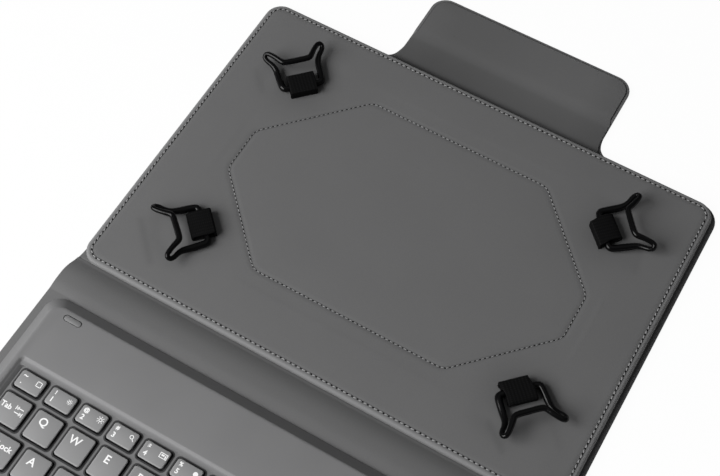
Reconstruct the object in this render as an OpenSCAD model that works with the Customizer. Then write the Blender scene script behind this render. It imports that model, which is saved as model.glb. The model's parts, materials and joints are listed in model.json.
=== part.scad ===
// Folding tablet case with a keyboard in its base and four elastic corner hooks on its panel.
// It lies open and flat: base in front, then spine, rear cover with the padded panel, and closing flap.
// X runs to the typist's right, Y away from the typist, Z up.
// The origin is the middle of the base's underside.

/* [Keys] */
// Width of a letter key
key_w = 13.95; // [12:0.05:16]
// Depth of a letter key
key_d = 14.4; // [12:0.1:16]
// Width of a key in the short number row
short_key_w = 13.55; // [12:0.05:14.5]
// Depth of a key in the short number row
short_key_d = 8.9; // [7:0.1:12]
// Space between neighbouring keys
key_gap = 3.5; // [2:0.1:5]
// Width of the tab key
tab_w = 14.5; // [12:0.1:18]
// Width of the caps lock key
caps_w = 21.1; // [17:0.1:26]
// Width of the left shift key
shift_left_w = 29.8; // [24:0.1:36]
// Width of the right shift key
shift_right_w = 20.8; // [18:0.1:28]
// Width of an arrow key
arrow_w = 9.9; // [8:0.1:12]
// Space between the stacked up and down keys
arrow_gap = 0.8; // [0.6:0.1:2]
// Corner radius of a keycap
key_r = 1.4; // [0.5:0.1:3]
// Height of a keycap
key_h = 1.8; // [1.4:0.1:2]
// How far the keycaps stand above the deck
key_proud = 0.3; // [0:0.1:0.6]
// Radius of a rubber dome at its foot
dome_r = 2.8; // [1.8:0.1:3]
// Air between a rubber dome and the keycap over it
dome_play = 0.1; // [0.05:0.05:0.3]

/* [Keyboard] */
// Height of the keyboard from the base lining to its deck
kb_h = 5.4; // [5.2:0.1:6]
// Blank strip of deck between the back edge and the key well
strip_d = 29.8; // [28:0.1:40]
// Palm rest between the key well and the front edge
palm_d = 45.6; // [40:0.1:60]
// Deck beside the key well
deck_side = 2.7; // [2:0.1:8]
// Plan width of the sloped skirt round the deck
skirt_run = 5.9; // [4:0.1:8]
// Height of the upright foot of the skirt
skirt_foot = 0.8; // [0.4:0.1:1]
// Corner radius of the deck
deck_r = 6; // [3:0.1:9]
// Plan width of the sloped wall round the key well
well_run = 2.8; // [1.5:0.1:4]
// Space between the foot of the well's wall and the keys
well_gap = 2; // [1:0.1:4]
// How far the face of the key grid lies under the deck
grid_drop = 1.3; // [1.2:0.1:2]
// Clearance round a key in the key grid
grid_play = 0.6; // [0.4:0.05:0.8]
// Corner radius of the key well
well_r = 2; // [1:0.1:4]
// Wall of the top case under the deck
deck_t = 1.4; // [1:0.1:1.6]
// Wall of the top case in the skirt and round the well
case_wall = 1.2; // [0.8:0.1:1.5]
// Thickness of the bottom case
bottom_t = 1; // [0.8:0.1:1.1]
// Thickness of the steel support plate, and of the membrane and of the dome sheet's web
layer_t = 0.4; // [0.3:0.05:0.45]
// Length of the stadium-shaped pairing button
button_w = 9.4; // [7:0.1:12]
// Width of the pairing button
button_d = 2.8; // [2.4:0.1:5]
// Travel of the pairing button
button_travel = 0.5; // [0.3:0.1:0.6]
// Distance of the pairing button from the deck's left edge
button_side = 12.4; // [11:0.1:20]
// Distance of the pairing button from the deck's back edge
button_back = 3.6; // [3.2:0.1:5]
// Running clearance of the button in its window
button_play = 0.3; // [0.2:0.05:0.5]

/* [Inside the keyboard] */
// Depth of the main circuit board
board_d = 14; // [10:0.1:15]
// Thickness of the main circuit board
board_t = 0.8; // [0.6:0.1:1]
// Width of the battery
battery_w = 96; // [60:1:110]
// Depth of the battery
battery_d = 28; // [20:1:30]
// Thickness of the battery
battery_t = 2.4; // [2:0.1:2.6]
// Width of the charging socket
socket_w = 7.5; // [6:0.1:9]
// Height of the charging socket
socket_h = 2.5; // [2:0.1:2.6]
// Depth of the charging socket
socket_d = 6; // [5:0.1:8]
// Sheet thickness of the charging socket
socket_wall = 0.35; // [0.3:0.05:0.5]
// Distance of the two outer screws from the deck's middle
screw_outer_x = 92; // [80:1:100]
// Distance of the two inner screws from the deck's middle
screw_inner_x = 62; // [56:1:70]
// Shank radius of a case screw
screw_r = 0.8; // [0.6:0.05:1]
// Head radius of a case screw
screw_head_r = 1.6; // [1.4:0.05:2]
// Head height of a case screw
screw_head_t = 0.5; // [0.4:0.05:0.6]
// Wall of a screw boss round its bore
boss_wall = 1.4; // [1:0.1:2]

/* [Cover] */
// Thickness of the outer skin
skin_t = 0.8; // [0.6:0.05:1]
// Thickness of the lining
lining_t = 0.8; // [0.6:0.05:1]
// Cover showing round the keyboard
kb_margin = 4.1; // [3:0.1:8]
// How far the base stands out past the panel on each side
panel_margin = 2.8; // [1:0.1:6]
// Rear cover showing beside the panel
rear_margin = 1.5; // [0.3:0.1:3]
// Sideways place of the rear cover, from the middle of the panel
rear_x = 1.2; // [-2:0.1:2]
// Length of the soft spine between its two folds
spine_len = 19.4; // [19:0.1:24]
// Corner radius of the base
base_r = 9; // [5:0.1:12]
// Corner radius of the rear cover
rear_r = 10.8; // [6:0.1:14]
// Thickness of the stiff board in the rear cover
rear_board_t = 0.9; // [0.6:0.05:1.2]
// Distance from a fold line to the stiff piece in front of it
fold_gap = 1.2; // [1.1:0.1:2]
// Distance from the flap's fold line to the panel
flap_gap = 1.4; // [1.2:0.1:3]
// Clearance in the groove that a fold turns in
fold_play = 0.2; // [0.15:0.05:0.3]
// Clearance between the base and the flap under it when the case is shut
flap_play = 0.3; // [0.2:0.05:0.5]
// Space between the front edge of the base and the flap when the case is shut
shut_gap = 0.8; // [0.5:0.1:2]

/* [Panel] */
// Thickness of the panel's board
slab_board_t = 2.2; // [2:0.1:3]
// Corner radius of the panel
slab_r = 9; // [5:0.1:12]
// Space under the panel's free front half
slab_lift = 0.1; // [0.05:0.05:0.3]
// Distance of the stand crease from the rear fold
crease_at = 92; // [80:1:100]

/* [Flap] */
// Width of the flap
flap_w = 116.5; // [80:0.5:160]
// Sideways place of the flap, from the middle of the cover
flap_x = 3.2; // [-10:0.1:10]
// Length of the flap's stiff plate
flap_plate_len = 27.6; // [20:0.1:40]
// Corner radius of the flap
flap_r = 9; // [4:0.1:12]
// Thickness of the flap's board
flap_board_t = 0.7; // [0.5:0.05:0.9]
// Thickness of the flap plate's skin
flap_skin_t = 0.6; // [0.5:0.05:0.8]
// Thickness of the flap plate's lining
flap_lining_t = 0.5; // [0.4:0.05:0.6]
// Radius of a flap magnet
magnet_r = 5; // [3:0.1:7]
// Distance between the flap magnets
magnet_pitch = 40; // [20:1:46]

/* [Stand magnets] */
// Length of a bar magnet
bar_len = 42; // [30:1:50]
// Width of a bar magnet
bar_w = 4; // [3:0.1:4.5]
// Thickness of a bar magnet
bar_t = 1.4; // [1:0.1:1.5]
// Distance of the bar magnets from the middle
bar_at = 36; // [30:1:36]

/* [Hooks] */
// Distance of an elastic strap's middle from the panel's edges
hook_inset = 42.4; // [40:0.1:60]
// Rod radius of a hook's bars
rod_r = 1.5; // [1.2:0.05:1.6]
// Rod radius of a hook's ears
ear_rod_r = 1.2; // [1:0.05:1.3]
// Height of the middle of an ear's upper leg above the lining
ear_rise = 7.2; // [5:0.1:7.2]
// Length of an ear in plan
ear_len = 7.4; // [4:0.1:7.6]
// Direction of an ear in plan, from straight outward
ear_angle = 45; // [30:1:60]
// Distance in plan between the middles of an ear's two legs
ear_leg = 2.6; // [2.2:0.1:3.5]
// Height of an ear's upper leg over its lower leg
ear_stand = 2.4; // [2:0.1:3]
// Half the length of a hook's inner bar
bar_half = 11.2; // [9.5:0.1:12]
// Outward distance of the inner bar from the strap's middle
bar_out = 1.5; // [0.5:0.1:3]
// Outward distance of the ears' roots from the strap's middle
root_out = 14.2; // [13:0.1:17]
// Sideways distance of the ears' roots from the hook's middle
root_half = 11.2; // [10:0.1:12]
// Outward distance of the front bar's hollow from the strap's middle
front_out = 13; // [11:0.1:14]
// Half the width of the front bar's hollow
front_half = 4.6; // [1.5:0.1:5]
// Height of the front bar's middle above the lining
front_rise = 7; // [4:0.1:7]
// Width of an elastic strap
strap_w = 14; // [10:0.1:16]
// Thickness of an elastic strap
strap_t = 0.8; // [0.6:0.05:0.9]
// Inward distance of the slit from the strap's middle
slit_in = 6.3; // [5:0.1:8]
// Length of the strap's sewn tail under the lining
tail_len = 12; // [8:0.1:16]
// Clearance between a strap and what it passes
strap_play = 0.2; // [0.1:0.05:0.3]
// Space under a hook's bars
rod_lift = 0.9; // [0.5:0.1:1.5]

/* [Hidden] */
$fn = 48;
HULL_FN = 32;
PAST = 1;
edge_band = 0.3;

// Fold lines lie in the middle of the soft sheet
sheet_t = skin_t + lining_t;
axis_z = sheet_t / 2;

// Key field: the lower letter row sets its width
pitch_x = key_w + key_gap;
pitch_y = key_d + key_gap;
letter_count = 10;
top_letter_count = 11;
number_count = 12;
modifier_left_count = 4;
modifier_right_count = 2;
arrow_count = 3;
field_w = shift_left_w + letter_count * pitch_x + key_gap + shift_right_w;
field_d = short_key_d + 4 * pitch_y;
well_side = well_gap + well_run;
well_w = field_w + 2 * well_side;
well_d = field_d + 2 * well_side;

// Keyboard, cover and panel grow out of the key field
deck_w = well_w + 2 * deck_side;
deck_d = strip_d + well_d + palm_d;
kb_w = deck_w + 2 * skirt_run;
kb_d = deck_d + 2 * skirt_run;
cover_w = kb_w + 2 * kb_margin;
base_len = fold_gap + kb_d + kb_margin;
rear_len = base_len + axis_z + shut_gap;
slab_w = cover_w - 2 * panel_margin;
rear_w = slab_w + 2 * rear_margin;
slab_d = rear_len - fold_gap - flap_gap;
flap_plate_t = flap_skin_t + flap_board_t + flap_lining_t;

// A groove clears the strip's face when the strip stands upright in it
groove_r = norm([axis_z, axis_z]) + fold_play;
tip_groove_r = norm([axis_z, flap_plate_t - axis_z]) + fold_play;

// The flap reaches from the rear cover round the front edge to under the base
gusset_len = spine_len + flap_plate_t + flap_play;

// Places along Y
base_front_y = -base_len / 2;
base_fold_y = base_len / 2;
rear_fold_y = base_fold_y + spine_len;
crease_y = rear_fold_y + crease_at;
flap_fold_y = rear_fold_y + rear_len;
tip_fold_y = flap_fold_y + gusset_len;
kb_y = base_fold_y - fold_gap - kb_d / 2;
deck_back_y = kb_y + deck_d / 2;
deck_front_y = kb_y - deck_d / 2;
well_y = deck_back_y - strip_d - well_d / 2;
field_back_y = well_y + field_d / 2;
slab_y = rear_fold_y + fold_gap + slab_d / 2;
slab_back_y = slab_y + slab_d / 2;

// Heights
kb_z = sheet_t;
deck_z = kb_z + kb_h;
deck_under_z = deck_z - deck_t;
floor_z = kb_z + bottom_t;
plate_z = floor_z;
membrane_z = plate_z + layer_t;
dome_z = membrane_z + layer_t;
dome_top_z = dome_z + layer_t;
layer_play = 0.1;
well_z = dome_top_z + layer_play;
key_z = deck_z + key_proud - key_h;
board_z = floor_z;
rear_t = skin_t + rear_board_t;
slab_z = rear_t + slab_lift;
lining_z = slab_z + slab_board_t;
panel_z = lining_z + lining_t;

// Key rows as [left edge, width], each from the left end of the field
row_left = -field_w / 2;
row_right = field_w / 2;
function run(count, left, w) = [for (i = [0 : count - 1]) [left + i * (w + key_gap), w]];
function after(keys) = let (last = keys[len(keys) - 1]) last[0] + last[1] + key_gap;
function filled(keys) = concat(keys, [[after(keys), row_right - after(keys)]]);
function led_by(first_w, count) =
    concat([[row_left, first_w]], run(count, row_left + first_w + key_gap, key_w));
number_row = filled(run(number_count, row_left, short_key_w));
upper_row = filled(led_by(tab_w, top_letter_count));
middle_row = filled(led_by(caps_w, letter_count));
lower_row = filled(led_by(shift_left_w, letter_count));
left_modifiers = run(modifier_left_count, row_left, key_w);
arrow_left = row_right - arrow_count * (arrow_w + key_gap) + key_gap;
right_modifiers = run(modifier_right_count, arrow_left - modifier_right_count * pitch_x, key_w);
space_left = after(left_modifiers);
space_key = [space_left, right_modifiers[0][0] - key_gap - space_left];
arrow_run = run(arrow_count, arrow_left, arrow_w);
number_y = field_back_y - short_key_d / 2;
function letter_y(row) = field_back_y - short_key_d - key_gap - key_d / 2 - row * pitch_y;
half_key_d = (key_d - arrow_gap) / 2;
half_key_shift = (half_key_d + arrow_gap) / 2;

// Every key as [left edge, width, middle in Y, depth]
function placed(keys, y, d) = [for (k = keys) [k[0], k[1], y, d]];
bottom_keys = placed(concat(left_modifiers, [space_key], right_modifiers), letter_y(3), key_d);
arrow_keys_list = concat(
    placed([arrow_run[0], arrow_run[2]], letter_y(3), key_d),
    placed([arrow_run[1]], letter_y(3) + half_key_shift, half_key_d),
    placed([arrow_run[1]], letter_y(3) - half_key_shift, half_key_d));
number_keys = placed(number_row, number_y, short_key_d);
upper_keys = placed(upper_row, letter_y(0), key_d);
middle_keys = placed(middle_row, letter_y(1), key_d);
lower_keys = placed(lower_row, letter_y(2), key_d);
all_keys = concat(number_keys, upper_keys, middle_keys, lower_keys, bottom_keys, arrow_keys_list);
function part_of(list, first, last) = [for (i = [first : last]) list[i]];

// Case screws, in a row in the strip and a row in the palm rest
boss_r = screw_r + boss_wall;
screw_rows_y = [deck_back_y - strip_d + well_run + boss_r, deck_front_y + boss_r + case_wall];
screw_places = [
    for (y = screw_rows_y) for (x = [-screw_outer_x, -screw_inner_x, screw_inner_x, screw_outer_x]) [x, y]];

// Bar magnets under the strip meet those in the panel's front edge
strip_bar_y = screw_rows_y[0] + boss_r + bar_w / 2;
slab_bar_y = slab_y - slab_d / 2 + lining_t + bar_w;
bar_play = 0.2;

// Shell of the keyboard case
cavity_w = kb_w - 2 * case_wall;
cavity_d = kb_d - 2 * case_wall;
cavity_r = deck_r + skirt_run / 2 - case_wall;
cavity_top_inset = 2 * case_wall;
bottom_play = 0.15;
thread_play = 0.02;
screw_end_play = 0.5;
screw_len = deck_under_z - kb_z - 2 * layer_t - screw_end_play;

// Layers under the keys
layer_w = field_w + 2 * well_gap + well_run;
layer_d = field_d + 2 * well_gap + well_run;
grid_edge_play = 0.2;
grid_w = field_w + 2 * (well_gap - grid_edge_play);
grid_d = field_d + 2 * (well_gap - grid_edge_play);
dome_taper = 0.7;

// Pairing button, with a flange under the deck and a switch under the flange
button_x = -deck_w / 2 + button_side;
button_y = deck_back_y - button_back;
flange_w = 0.9;
flange_t = 0.6;
flange_play = 0.2;
flange_z = deck_under_z - flange_play - flange_t;
switch_w = 4;
switch_d = 2.6;
switch_play = 0.3;
switch_h = flange_z - switch_play - button_travel - board_z - board_t;

// Circuit board, charging socket in the right side, and battery
socket_y = deck_back_y - board_d / 2;
socket_z = board_z + board_t;
socket_out = 0.4;
socket_front_x = deck_w / 2 + skirt_run * socket_out;
socket_play = 0.4;
board_right = socket_front_x - socket_d / 4;
board_left = button_x - button_w / 2;
chip_w = 7;
chip_t = 0.9;
battery_y = (screw_rows_y[1] + boss_r + well_y - well_d / 2 - case_wall) / 2;
battery_r = 1.5;

// Steel plates in the base that the flap's magnets close on
closure_plate_t = lining_t / 2;
closure_plate_y = base_front_y + flap_plate_len / 2;
closure_play = 0.1;

// Hooks stand at the panel's corners on elastic straps
hook_x = slab_w / 2 - hook_inset;
hook_dy = slab_d / 2 - hook_inset;
strap_lift = strap_play / 4;
strap_in_r = rod_r + strap_play;
strap_out_r = strap_in_r + strap_t;
rod_z = strap_out_r + strap_lift;
slit_w = 2 * strap_t + 2 * strap_play;
tail_t = 2 * strap_t;
tail_end = slit_in + slit_w / 2 + tail_len;

// Closed loop of rod: control points of one half as [outward, sideways, up, radius], mirrored for the other
side_z = rod_r + rod_lift;
ear_low = ear_rise - ear_stand;
root_z = mid(side_z, ear_low);
ear_run = ear_len * [cos(ear_angle), sin(ear_angle)];
leg_step = ear_leg * [sin(ear_angle), -cos(ear_angle)];
outer_root = [root_out, root_half];
outer_tip = outer_root + ear_run;
inner_tip = outer_tip + leg_step;
inner_root = outer_root + leg_step;
function mid(a, b) = (a + b) / 2;
function rod_at(p, z, r) = [p[0], p[1], z, r];
hook_half = [
    rod_at([bar_out, bar_half / 2], rod_z, rod_r),
    rod_at([bar_out, bar_half], rod_z, rod_r),
    rod_at(mid([bar_out, bar_half], outer_root), side_z, rod_r),
    rod_at(outer_root, root_z, rod_r),
    rod_at(outer_tip, ear_low, ear_rod_r),
    rod_at(inner_tip, ear_rise, ear_rod_r),
    rod_at(inner_root, front_rise, ear_rod_r),
    rod_at([front_out, front_half], front_rise, rod_r)];
hook_last = len(hook_half) - 1;
hook_path = concat(
    hook_half,
    [for (i = [hook_last : -1 : 0]) [hook_half[i][0], -hook_half[i][1], hook_half[i][2], hook_half[i][3]]]);
hook_sides = 8;
hook_steps = 3;

SKIN = "#4a4a4c";
LINING = "#66666a";
CASE = "#77777a";
KEYCAP = "#8a8a8d";
BLACK = "#161617";
BOARD = "#b9b3a4";
STEEL = "#a8abb0";
CIRCUIT = "#2f6b45";

// Rectangle with true round corners, centred
module rounded(w, d, r) {
    square([w - 2 * r, d], center = true);
    square([w, d - 2 * r], center = true);
    for (x = [-1, 1]) for (y = [-1, 1])
        translate([x * (w / 2 - r), y * (d / 2 - r)]) circle(r);
}

// Rectangle from y0 to y1 with its far or near corners rounded
module one_end_rounded(w, y0, y1, r, far) {
    translate([0, (y0 + y1) / 2]) rounded(w, y1 - y0, r);
    square_y0 = far ? y0 : (y0 + y1) / 2;
    translate([-w / 2, square_y0]) square([w, (y1 - y0) / 2]);
}

// Plain sheet from one place in Y to another
module sheet(w, y0, y1, z, t) {
    translate([-w / 2, y0, z]) cube([w, y1 - y0, t]);
}

// Round groove along a fold line, cut out of the piece beside the fold
module fold_groove(y, w, r) {
    translate([0, y, axis_z]) rotate([0, 90, 0]) cylinder(r = r, h = w, center = true);
}

// Lower or upper half of a soft strip whose long edges are round about its two fold lines
module soft_strip(w, y0, y1, z0, t) {
    rotate([90, 0, 90]) linear_extrude(w, center = true) intersection() {
        union() {
            translate([y0, 0]) square([y1 - y0, sheet_t]);
            for (y = [y0, y1]) translate([y, axis_z]) circle(axis_z);
        }
        translate([y0 - sheet_t, z0]) square([y1 - y0 + 2 * sheet_t, t]);
    }
}

// Four round corner posts, which a hull joins into a rounded block
module corner_posts(w, d, r, z0, z1) {
    for (x = [-1, 1]) for (y = [-1, 1])
        translate([x * (w / 2 - r), y * (d / 2 - r), z0]) cylinder(r = r, h = z1 - z0, $fn = HULL_FN);
}

// Base

module base_outline() {
    one_end_rounded(cover_w, base_front_y, base_fold_y, base_r, false);
}

module base_skin() {
    color(SKIN) difference() {
        linear_extrude(skin_t) base_outline();
        fold_groove(base_fold_y, cover_w + PAST, groove_r);
    }
}

module at_closure() {
    for (i = [-1 : 1]) translate([flap_x + i * magnet_pitch, closure_plate_y, skin_t]) children();
}

module base_lining() {
    color(LINING) difference() {
        translate([0, 0, skin_t]) linear_extrude(lining_t) base_outline();
        fold_groove(base_fold_y, cover_w + PAST, groove_r);
        at_closure() translate([0, 0, -PAST])
            cylinder(r = magnet_r + closure_play, h = closure_plate_t + PAST);
    }
}

module closure_plates() {
    color(STEEL) at_closure() cylinder(r = magnet_r, h = closure_plate_t);
}

// Keyboard case

module case_outside() {
    translate([0, kb_y, 0]) hull() {
        corner_posts(kb_w, kb_d, deck_r + skirt_run / 2, kb_z, kb_z + skirt_foot);
        corner_posts(deck_w, deck_d, deck_r, deck_z - edge_band, deck_z);
    }
}

module case_cavity() {
    translate([0, kb_y, 0]) hull() {
        corner_posts(cavity_w, cavity_d, cavity_r, kb_z - PAST, floor_z);
        corner_posts(deck_w - cavity_top_inset, deck_d - cavity_top_inset, deck_r - case_wall,
            deck_under_z - edge_band, deck_under_z);
    }
}

// Sloped funnel of the key well, grown by a wall, with an upright band at its foot and at its mouth
module well_funnel(wall, foot_z, mouth_z) {
    foot_w = well_w - 2 * well_run + 2 * wall;
    foot_d = well_d - 2 * well_run + 2 * wall;
    translate([0, well_y, 0]) hull() {
        corner_posts(foot_w, foot_d, well_r + wall, foot_z, foot_z + edge_band);
        corner_posts(well_w + 2 * wall, well_d + 2 * wall, well_r + wall, mouth_z, mouth_z + edge_band);
    }
}

// Stadium along X with true round ends
module stadium(w, d) {
    square([w - d, d], center = true);
    for (x = [-1, 1]) translate([x * (w - d) / 2, 0]) circle(d / 2);
}

module top_case() {
    color(CASE) difference() {
        union() {
            difference() {
                case_outside();
                difference() {
                    case_cavity();
                    well_funnel(case_wall, well_z, deck_z);
                }
            }
            for (p = screw_places) translate([p[0], p[1], floor_z])
                cylinder(r = boss_r, h = deck_under_z - floor_z + edge_band);
        }
        well_funnel(0, well_z - edge_band, deck_z);
        for (p = screw_places) translate([p[0], p[1], floor_z - PAST])
            cylinder(r = screw_r, h = deck_under_z - floor_z + PAST - layer_t);
        translate([button_x, button_y, deck_under_z - PAST]) linear_extrude(deck_t + 2 * PAST)
            stadium(button_w + 2 * button_play, button_d + 2 * button_play);
        translate([socket_front_x - socket_d, socket_y - socket_w / 2 - socket_play,
            socket_z - socket_play])
            cube([skirt_run + socket_d, socket_w + 2 * socket_play, socket_h + 2 * socket_play]);
    }
}

module bottom_case() {
    color(CASE) difference() {
        translate([0, kb_y, kb_z]) linear_extrude(bottom_t)
            rounded(cavity_w - 2 * bottom_play, cavity_d - 2 * bottom_play, cavity_r - bottom_play);
        for (p = screw_places) translate([p[0], p[1], kb_z - PAST]) {
            cylinder(r = screw_r + bottom_play, h = bottom_t + 2 * PAST);
            cylinder(r = screw_head_r + bottom_play, h = screw_head_t + PAST);
        }
    }
}

module case_screws() {
    color(STEEL) for (p = screw_places) translate([p[0], p[1], kb_z]) {
        cylinder(r = screw_head_r, h = screw_head_t);
        cylinder(r = screw_r - thread_play, h = screw_len);
    }
}

module key_layer(z) {
    translate([0, well_y, z]) linear_extrude(layer_t) rounded(layer_w, layer_d, well_r);
}

module support_plate() {
    color(STEEL) key_layer(plate_z);
}

module membrane() {
    color("#c9c7bd") key_layer(membrane_z);
}

module dome_sheet() {
    color(BLACK) union() {
        key_layer(dome_z);
        for (k = all_keys) translate([k[0] + k[1] / 2, k[2], dome_z])
            cylinder(r1 = dome_r, r2 = dome_r * dome_taper, h = key_z - dome_play - dome_z);
    }
}

module main_board() {
    color(CIRCUIT) union() {
        translate([board_left, deck_back_y - board_d, board_z])
            cube([board_right - board_left, board_d, board_t]);
        translate([0, deck_back_y - board_d / 2, board_z + board_t / 2])
            linear_extrude(chip_t + board_t / 2) square(chip_w, center = true);
        translate([button_x, button_y, board_z + board_t / 2])
            linear_extrude(switch_h + board_t / 2) square([switch_w, switch_d], center = true);
    }
}

module battery() {
    color(STEEL) translate([0, battery_y, floor_z]) linear_extrude(battery_t)
        rounded(battery_w, battery_d, battery_r);
}

module charging_socket() {
    color(STEEL) translate([socket_front_x - socket_d / 2, socket_y, socket_z + socket_h / 2])
        difference() {
            cube([socket_d, socket_w, socket_h], center = true);
            translate([socket_wall * 2, 0, 0])
                cube([socket_d, socket_w - 2 * socket_wall, socket_h - 2 * socket_wall], center = true);
        }
}

module strip_magnets() {
    color(STEEL) for (x = [-1, 1])
        translate([x * bar_at - bar_len / 2, strip_bar_y - bar_w / 2, deck_under_z - bar_t])
            cube([bar_len, bar_w, bar_t]);
}

module pairing_button() {
    color(CASE) translate([button_x, button_y, flange_z]) {
        linear_extrude(deck_z - flange_z) stadium(button_w, button_d);
        linear_extrude(flange_t) stadium(button_w + 2 * flange_w, button_d + 2 * flange_w);
    }
}

// Grid on the dome sheet with an opening for every key
module key_grid() {
    color(LINING) translate([0, 0, dome_top_z]) linear_extrude(deck_z - grid_drop - dome_top_z) difference() {
        translate([0, well_y]) rounded(grid_w, grid_d, well_r);
        for (k = all_keys) translate([k[0] + k[1] / 2, k[2]])
            rounded(k[1] + 2 * grid_play, k[3] + 2 * grid_play, key_r);
    }
}

// Keys

module keycaps(keys) {
    color(KEYCAP) for (k = keys) translate([k[0] + k[1] / 2, k[2], key_z])
        linear_extrude(key_h) rounded(k[1], k[3], key_r);
}

// Spine

module spine_skin() {
    color(SKIN) soft_strip(cover_w, base_fold_y, rear_fold_y, 0, skin_t);
}

module spine_lining() {
    color(LINING) soft_strip(cover_w, base_fold_y, rear_fold_y, skin_t, lining_t);
}

// Rear cover, in two halves that meet at the stand crease

module rear_lower_skin() {
    color(SKIN) translate([rear_x, 0, 0]) difference() {
        sheet(rear_w, rear_fold_y, crease_y, 0, skin_t);
        fold_groove(rear_fold_y, rear_w + PAST, groove_r);
        fold_groove(crease_y, rear_w + PAST, groove_r);
    }
}

module rear_lower_board() {
    color(BOARD) sheet(slab_w, rear_fold_y + groove_r + fold_play, crease_y - fold_gap, skin_t, rear_board_t);
}

module rear_upper_skin() {
    color(SKIN) union() {
        difference() {
            translate([rear_x, 0, 0])
                linear_extrude(skin_t) one_end_rounded(rear_w, crease_y, flap_fold_y, rear_r, true);
            translate([flap_x, 0, 0]) fold_groove(flap_fold_y, flap_w + 2 * fold_play, groove_r);
        }
        translate([rear_x, crease_y, axis_z]) rotate([0, 90, 0]) cylinder(r = axis_z, h = rear_w, center = true);
    }
}

module rear_upper_board() {
    color(BOARD) translate([0, 0, skin_t]) linear_extrude(rear_board_t + slab_lift)
        one_end_rounded(slab_w, crease_y + fold_gap, slab_back_y, slab_r, true);
}

// Panel

module at_hooks(sx, sy) {
    translate([sx * hook_x, slab_y + sy * hook_dy, panel_z]) rotate(atan2(sy, sx)) children();
}

module at_every_hook() {
    for (sx = [-1, 1]) for (sy = [-1, 1]) at_hooks(sx, sy) children();
}

module panel_board() {
    color(BOARD) difference() {
        translate([0, slab_y, slab_z]) linear_extrude(slab_board_t)
            rounded(slab_w - 2 * lining_t, slab_d - 2 * lining_t, slab_r - lining_t);
        at_every_hook() translate([-tail_end - strap_play, -strap_w / 2 - strap_play, -lining_t - tail_t])
            cube([tail_len + slit_w + 2 * strap_play, strap_w + 2 * strap_play, tail_t + lining_t + PAST]);
        for (x = [-1, 1])
            translate([x * bar_at, slab_bar_y, lining_z - bar_t]) linear_extrude(bar_t + PAST)
                square([bar_len + 2 * bar_play, bar_w + 2 * bar_play], center = true);
    }
}

// Lining over the panel's face and down its four sides
module panel_lining() {
    color(LINING) difference() {
        translate([0, slab_y, slab_z]) linear_extrude(slab_board_t + lining_t)
            rounded(slab_w, slab_d, slab_r);
        translate([0, slab_y, slab_z - PAST]) linear_extrude(slab_board_t + PAST)
            rounded(slab_w - 2 * lining_t, slab_d - 2 * lining_t, slab_r - lining_t);
        at_every_hook() translate([-slit_in - slit_w / 2, -strap_w / 2 - strap_play, -lining_t - PAST])
            cube([slit_w, strap_w + 2 * strap_play, lining_t + 2 * PAST]);
    }
}

module panel_magnets() {
    color(STEEL) for (x = [-1, 1])
        translate([x * bar_at - bar_len / 2, slab_bar_y - bar_w / 2, lining_z - bar_t])
            cube([bar_len, bar_w, bar_t]);
}

// Elastic strap: a loop round the hook's inner bar, both layers down through the slit, and a sewn tail
module strap_profile() {
    slit_0 = -slit_in - strap_t;
    slit_1 = -slit_in + strap_t;
    difference() {
        union() {
            translate([bar_out, rod_z]) circle(strap_out_r);
            polygon([
                [slit_0, -lining_t], [slit_1, -lining_t], [slit_1, strap_lift],
                [bar_out, strap_lift], [bar_out, rod_z + strap_out_r], [slit_0, strap_t]]);
            translate([-tail_end, -lining_t - tail_t]) square([tail_end + slit_1, tail_t]);
        }
        translate([bar_out, rod_z]) circle(strap_in_r);
        polygon([
            [slit_1, strap_t + strap_play / 2], [bar_out, strap_t + strap_lift],
            [bar_out, rod_z + strap_in_r]]);
    }
}

module strap(sx, sy) {
    color(BLACK) at_hooks(sx, sy) rotate([90, 0, 0]) linear_extrude(strap_w, center = true) strap_profile();
}

// Hook: a rod swept along a closed smooth curve through its control points

function wrap(i, n) = (i + n) % n;
function bend(a, b, c, t) = pow(1 - t, 2) * mid(a, b) + 2 * t * (1 - t) * b + pow(t, 2) * mid(b, c);
function smooth_loop(p, steps) = let (n = len(p)) [
    for (i = [0 : n - 1]) for (s = [0 : steps - 1])
        bend(p[wrap(i - 1, n)], p[i], p[wrap(i + 1, n)], s / steps)];
function unit(v) = v / norm(v);
function xyz(p) = [p[0], p[1], p[2]];
function ring(p, tangent, r, sides) =
    let (across = unit(cross([0, 0, 1], tangent)), over = cross(tangent, across))
    [for (k = [0 : sides - 1]) p + r * (cos(360 * k / sides) * across + sin(360 * k / sides) * over)];

module rod_loop(control, steps, sides) {
    path = smooth_loop(control, steps);
    n = len(path);
    points = [for (i = [0 : n - 1])
        let (tangent = unit(xyz(path[wrap(i + 1, n)]) - xyz(path[wrap(i - 1, n)])))
        each ring(xyz(path[i]), tangent, path[i][3], sides)];
    faces = [for (i = [0 : n - 1]) for (k = [0 : sides - 1])
        let (a = i * sides + k, b = i * sides + wrap(k + 1, sides), c = wrap(i + 1, n) * sides)
        each [[a, b, c + k], [b, c + wrap(k + 1, sides), c + k]]];
    polyhedron(points, faces);
}

module hook(sx, sy) {
    color(BLACK) at_hooks(sx, sy) rod_loop(hook_path, hook_steps, hook_sides);
}

// Flap

module gusset_skin() {
    color(SKIN) translate([flap_x, 0, 0]) soft_strip(flap_w, flap_fold_y, tip_fold_y, 0, skin_t);
}

module gusset_lining() {
    color(LINING) translate([flap_x, 0, 0]) soft_strip(flap_w, flap_fold_y, tip_fold_y, skin_t, lining_t);
}

module flap_layer(z, t) {
    translate([flap_x, 0, 0]) difference() {
        translate([0, 0, z]) linear_extrude(t)
            one_end_rounded(flap_w, tip_fold_y, tip_fold_y + flap_plate_len, flap_r, true);
        fold_groove(tip_fold_y, flap_w + PAST, tip_groove_r);
    }
}

module at_flap_magnets() {
    for (i = [-1 : 1])
        translate([flap_x + i * magnet_pitch, tip_fold_y + flap_plate_len / 2, flap_skin_t]) children();
}

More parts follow.
